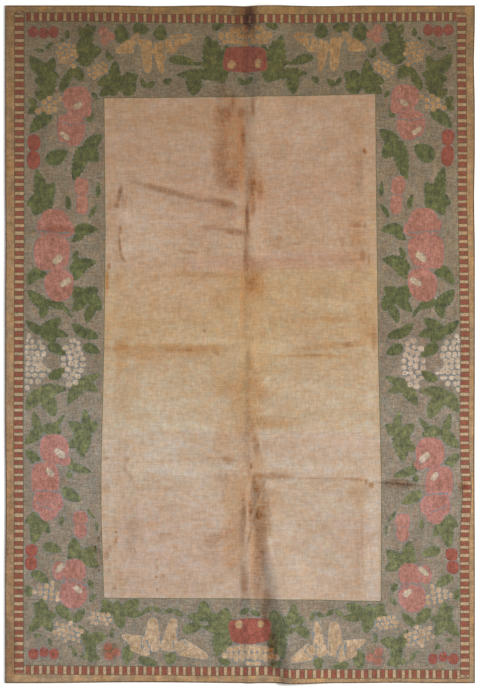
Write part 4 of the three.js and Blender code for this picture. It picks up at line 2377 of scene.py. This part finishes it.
@dataclass
class Whipping:
    """The yarn-wound cord along each edge. Its turns wind round the cord as a screw's thread does."""

    lie: Lie
    half_length: float = 1980 * MM
    radius: float = 3.5 * MM
    gap: float = 0.3 * MM
    turn: float = 8 * MM
    rings_a_turn: int = 4
    sides: int = 10
    # How deep the groove between two turns is.
    groove: float = 0.45 * MM
    # Shares of the radius: how thick the cord's ends are, and how high its flat underside lies.
    blunt: float = 0.6
    flat: float = 0.12
    yarn: YarnWhipping = YarnWhipping()

    def tube(self, name: str, middle: np.ndarray, out: tuple[float, float], run: float) -> bpy.types.Object:
        """Winds a tube along its middle line.

        A ring's corner stands off the middle by the radius, less half the groove times 1 plus the
        cosine of the corner's angle less the turns so far. The flat underside lies on the floor.

        Args:
            name: the piece's name.
            middle: the line under the tube's middle, at the cloth's lower side, a row each ring.
            out: the way on the floor that faces away from the cloth.
            run: 1 or -1, so that the faces point outwards.

        Returns:
            The cord.
        """
        rings, sides = len(middle), self.sides
        angle = np.linspace(0, 2 * math.pi, sides, endpoint=False) * run
        turns = 2 * math.pi * np.arange(rings) / self.rings_a_turn
        off = self.radius - 0.5 * self.groove * (1 + np.cos(angle[None, :] - turns[:, None]))
        off[[0, -1]] *= self.blunt
        side = off * np.cos(angle)
        up = np.maximum(self.radius + off * np.sin(angle), self.flat * self.radius)
        corners = middle[:, None, :] + np.stack([side * out[0], side * out[1], up], axis=-1)
        ring, step = np.meshgrid(np.arange(rings - 1) * sides, np.arange(sides), indexing="ij")
        here, beside = ring + step, ring + (step + 1) % sides
        walls = np.stack([here, beside, beside + sides, here + sides], axis=-1)
        caps = [np.arange(sides)[::-1], np.arange(sides) + (rings - 1) * sides]
        loops = np.concatenate([walls.ravel(), *caps])
        starts = np.concatenate([np.arange(0, walls.size, 4), [walls.size, walls.size + sides]])
        return new_mesh(name, corners.reshape(-1, 3), loops, starts)

    def stations(self, half: float) -> np.ndarray:
        """Gives evenly spaced places from minus half to half, a few to each turn."""
        count = int(2 * half / self.turn * self.rings_a_turn)
        return np.linspace(-half, half, count + 1)

    def side(self, sign: int) -> bpy.types.Object:
        """Winds the cord of a side, past the ends of the cloth.

        Args:
            sign: 1 on the right, -1 on the left.

        Returns:
            The cord.
        """
        y = self.stations(self.half_length)
        edge = np.full(y.shape, sign * self.lie.half_width)
        x = self.lie.settle(edge, y)[0] + sign * (self.gap + self.radius)
        middle = np.stack([x, y, self.lie.folds(edge, y)], axis=1)
        return self.tube("whipping_right" if sign > 0 else "whipping_left", middle, (sign, 0), -sign)

    def end(self, sign: int) -> bpy.types.Object:
        """Winds the cord of an end, between the side cords.

        Args:
            sign: 1 at the head, -1 at the foot.

        Returns:
            The cord.
        """
        along = self.stations(self.lie.half_width)
        edge = np.full(along.shape, sign * self.lie.half_length)
        x, y = self.lie.settle(along, edge)
        middle = np.stack([x, y + sign * (self.gap + self.radius), self.lie.folds(along, edge)], axis=1)
        return self.tube("whipping_head" if sign > 0 else "whipping_foot", middle, (0, sign), sign)

    def build(self) -> dict[str, bpy.types.Object]:
        """Winds all four cords, named by the part's node that each stands for."""
        return dict(zip(CORD_NODES, (self.side(-1), self.side(1), self.end(1), self.end(-1))))

    def dress(self, cords: Iterable[bpy.types.Object]) -> None:
        """Gives every cord the same yarn.

        Args:
            cords: the cords.
        """
        yarn = self.yarn.material()
        for cord in cords:
            cord.data.materials.append(yarn)


@dataclass
class Studio:
    """The plain pale floor, the soft lights and the camera straight above."""

    floor_size: float = 40.0
    lens: float = 85.0
    sensor: float = 36.0
    sky: float = 0.44
    paper: PaleFloor = PaleFloor()

    def camera(self) -> None:
        """Hangs the camera so high that the picture's long side takes in its squares at the floor."""
        data = bpy.data.cameras.new("camera")
        data.lens = self.lens
        data.sensor_width = self.sensor
        data.clip_end = 100
        camera = in_scene("camera", data)
        height = PICTURE[1] * SQUARE * self.lens / self.sensor
        camera.location = (0, (CHART_MIDDLE[1] - PICTURE[1] / 2) * SQUARE, height + PILE_HEIGHT)
        bpy.context.scene.camera = camera

    def floor(self) -> bpy.types.Object:
        """Lays the floor, a hair under the rug.

        Returns:
            The floor.
        """
        corners = np.array([[-1, -1, 0], [1, -1, 0], [1, 1, 0], [-1, 1, 0]]) * (self.floor_size / 2)
        corners[:, 2] = -0.2 * MM
        floor = new_mesh("studio_floor", corners, np.arange(4), np.array([0]))
        floor.data.materials.append(self.paper.material())
        return floor

    def lamp(
        self, name: str, place: tuple[float, float, float], size: float, power: float, colour: str
    ) -> None:
        """Hangs a square area lamp that faces the middle of the rug.

        Args:
            name: the lamp's name.
            place: where it hangs, in metres.
            size: its side, in metres.
            power: its power in watts.
            colour: its light, as an sRGB hex colour.
        """
        data = bpy.data.lights.new(name, "AREA")
        data.size = size
        data.energy = power
        data.color = linear(colour)[:3]
        lamp = in_scene(name, data)
        lamp.location = place
        away = np.array(place) / np.linalg.norm(place)
        lamp.rotation_euler = (math.acos(away[2]), 0, math.atan2(away[0], -away[1]))

    def light(self) -> None:
        """Lights the rug: a low key from the right, which draws the folds, and an even sky."""
        self.lamp("key", (18.0, 3.2, 11.2), 4.6, 6000, "#fffaf2")
        self.lamp("fill", (-4.0, -5.0, 9.0), 6.0, 260, "#fbfcff")
        world = bpy.data.worlds.new("studio")
        world.use_nodes = True
        sky = world.node_tree.nodes["Background"]
        sky.inputs["Color"].default_value = (1, 1, 1, 1)
        sky.inputs["Strength"].default_value = self.sky
        bpy.context.scene.world = world
        bpy.context.scene.view_settings.view_transform = "Standard"


def main() -> None:
    logging.basicConfig(level=logging.INFO, format="%(name)s: %(message)s")
    studio = Studio()
    studio.camera()
    studio.light()
    floor = studio.floor()

    cloth = PileCloth()
    rug = cloth.build()
    cloth.dress(rug)
    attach(rug, "root")
    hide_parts(CLOTH_NODE)
    log.info("%s: %d triangles", rug.name, triangles(rug))

    whipping = Whipping(cloth.lie)
    cords = whipping.build()
    whipping.dress(cords.values())
    for node, cord in cords.items():
        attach(cord, "root")
        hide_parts(node)
        log.info("%s: %d triangles", cord.name, triangles(cord))


if __name__ == "__main__":
    main()
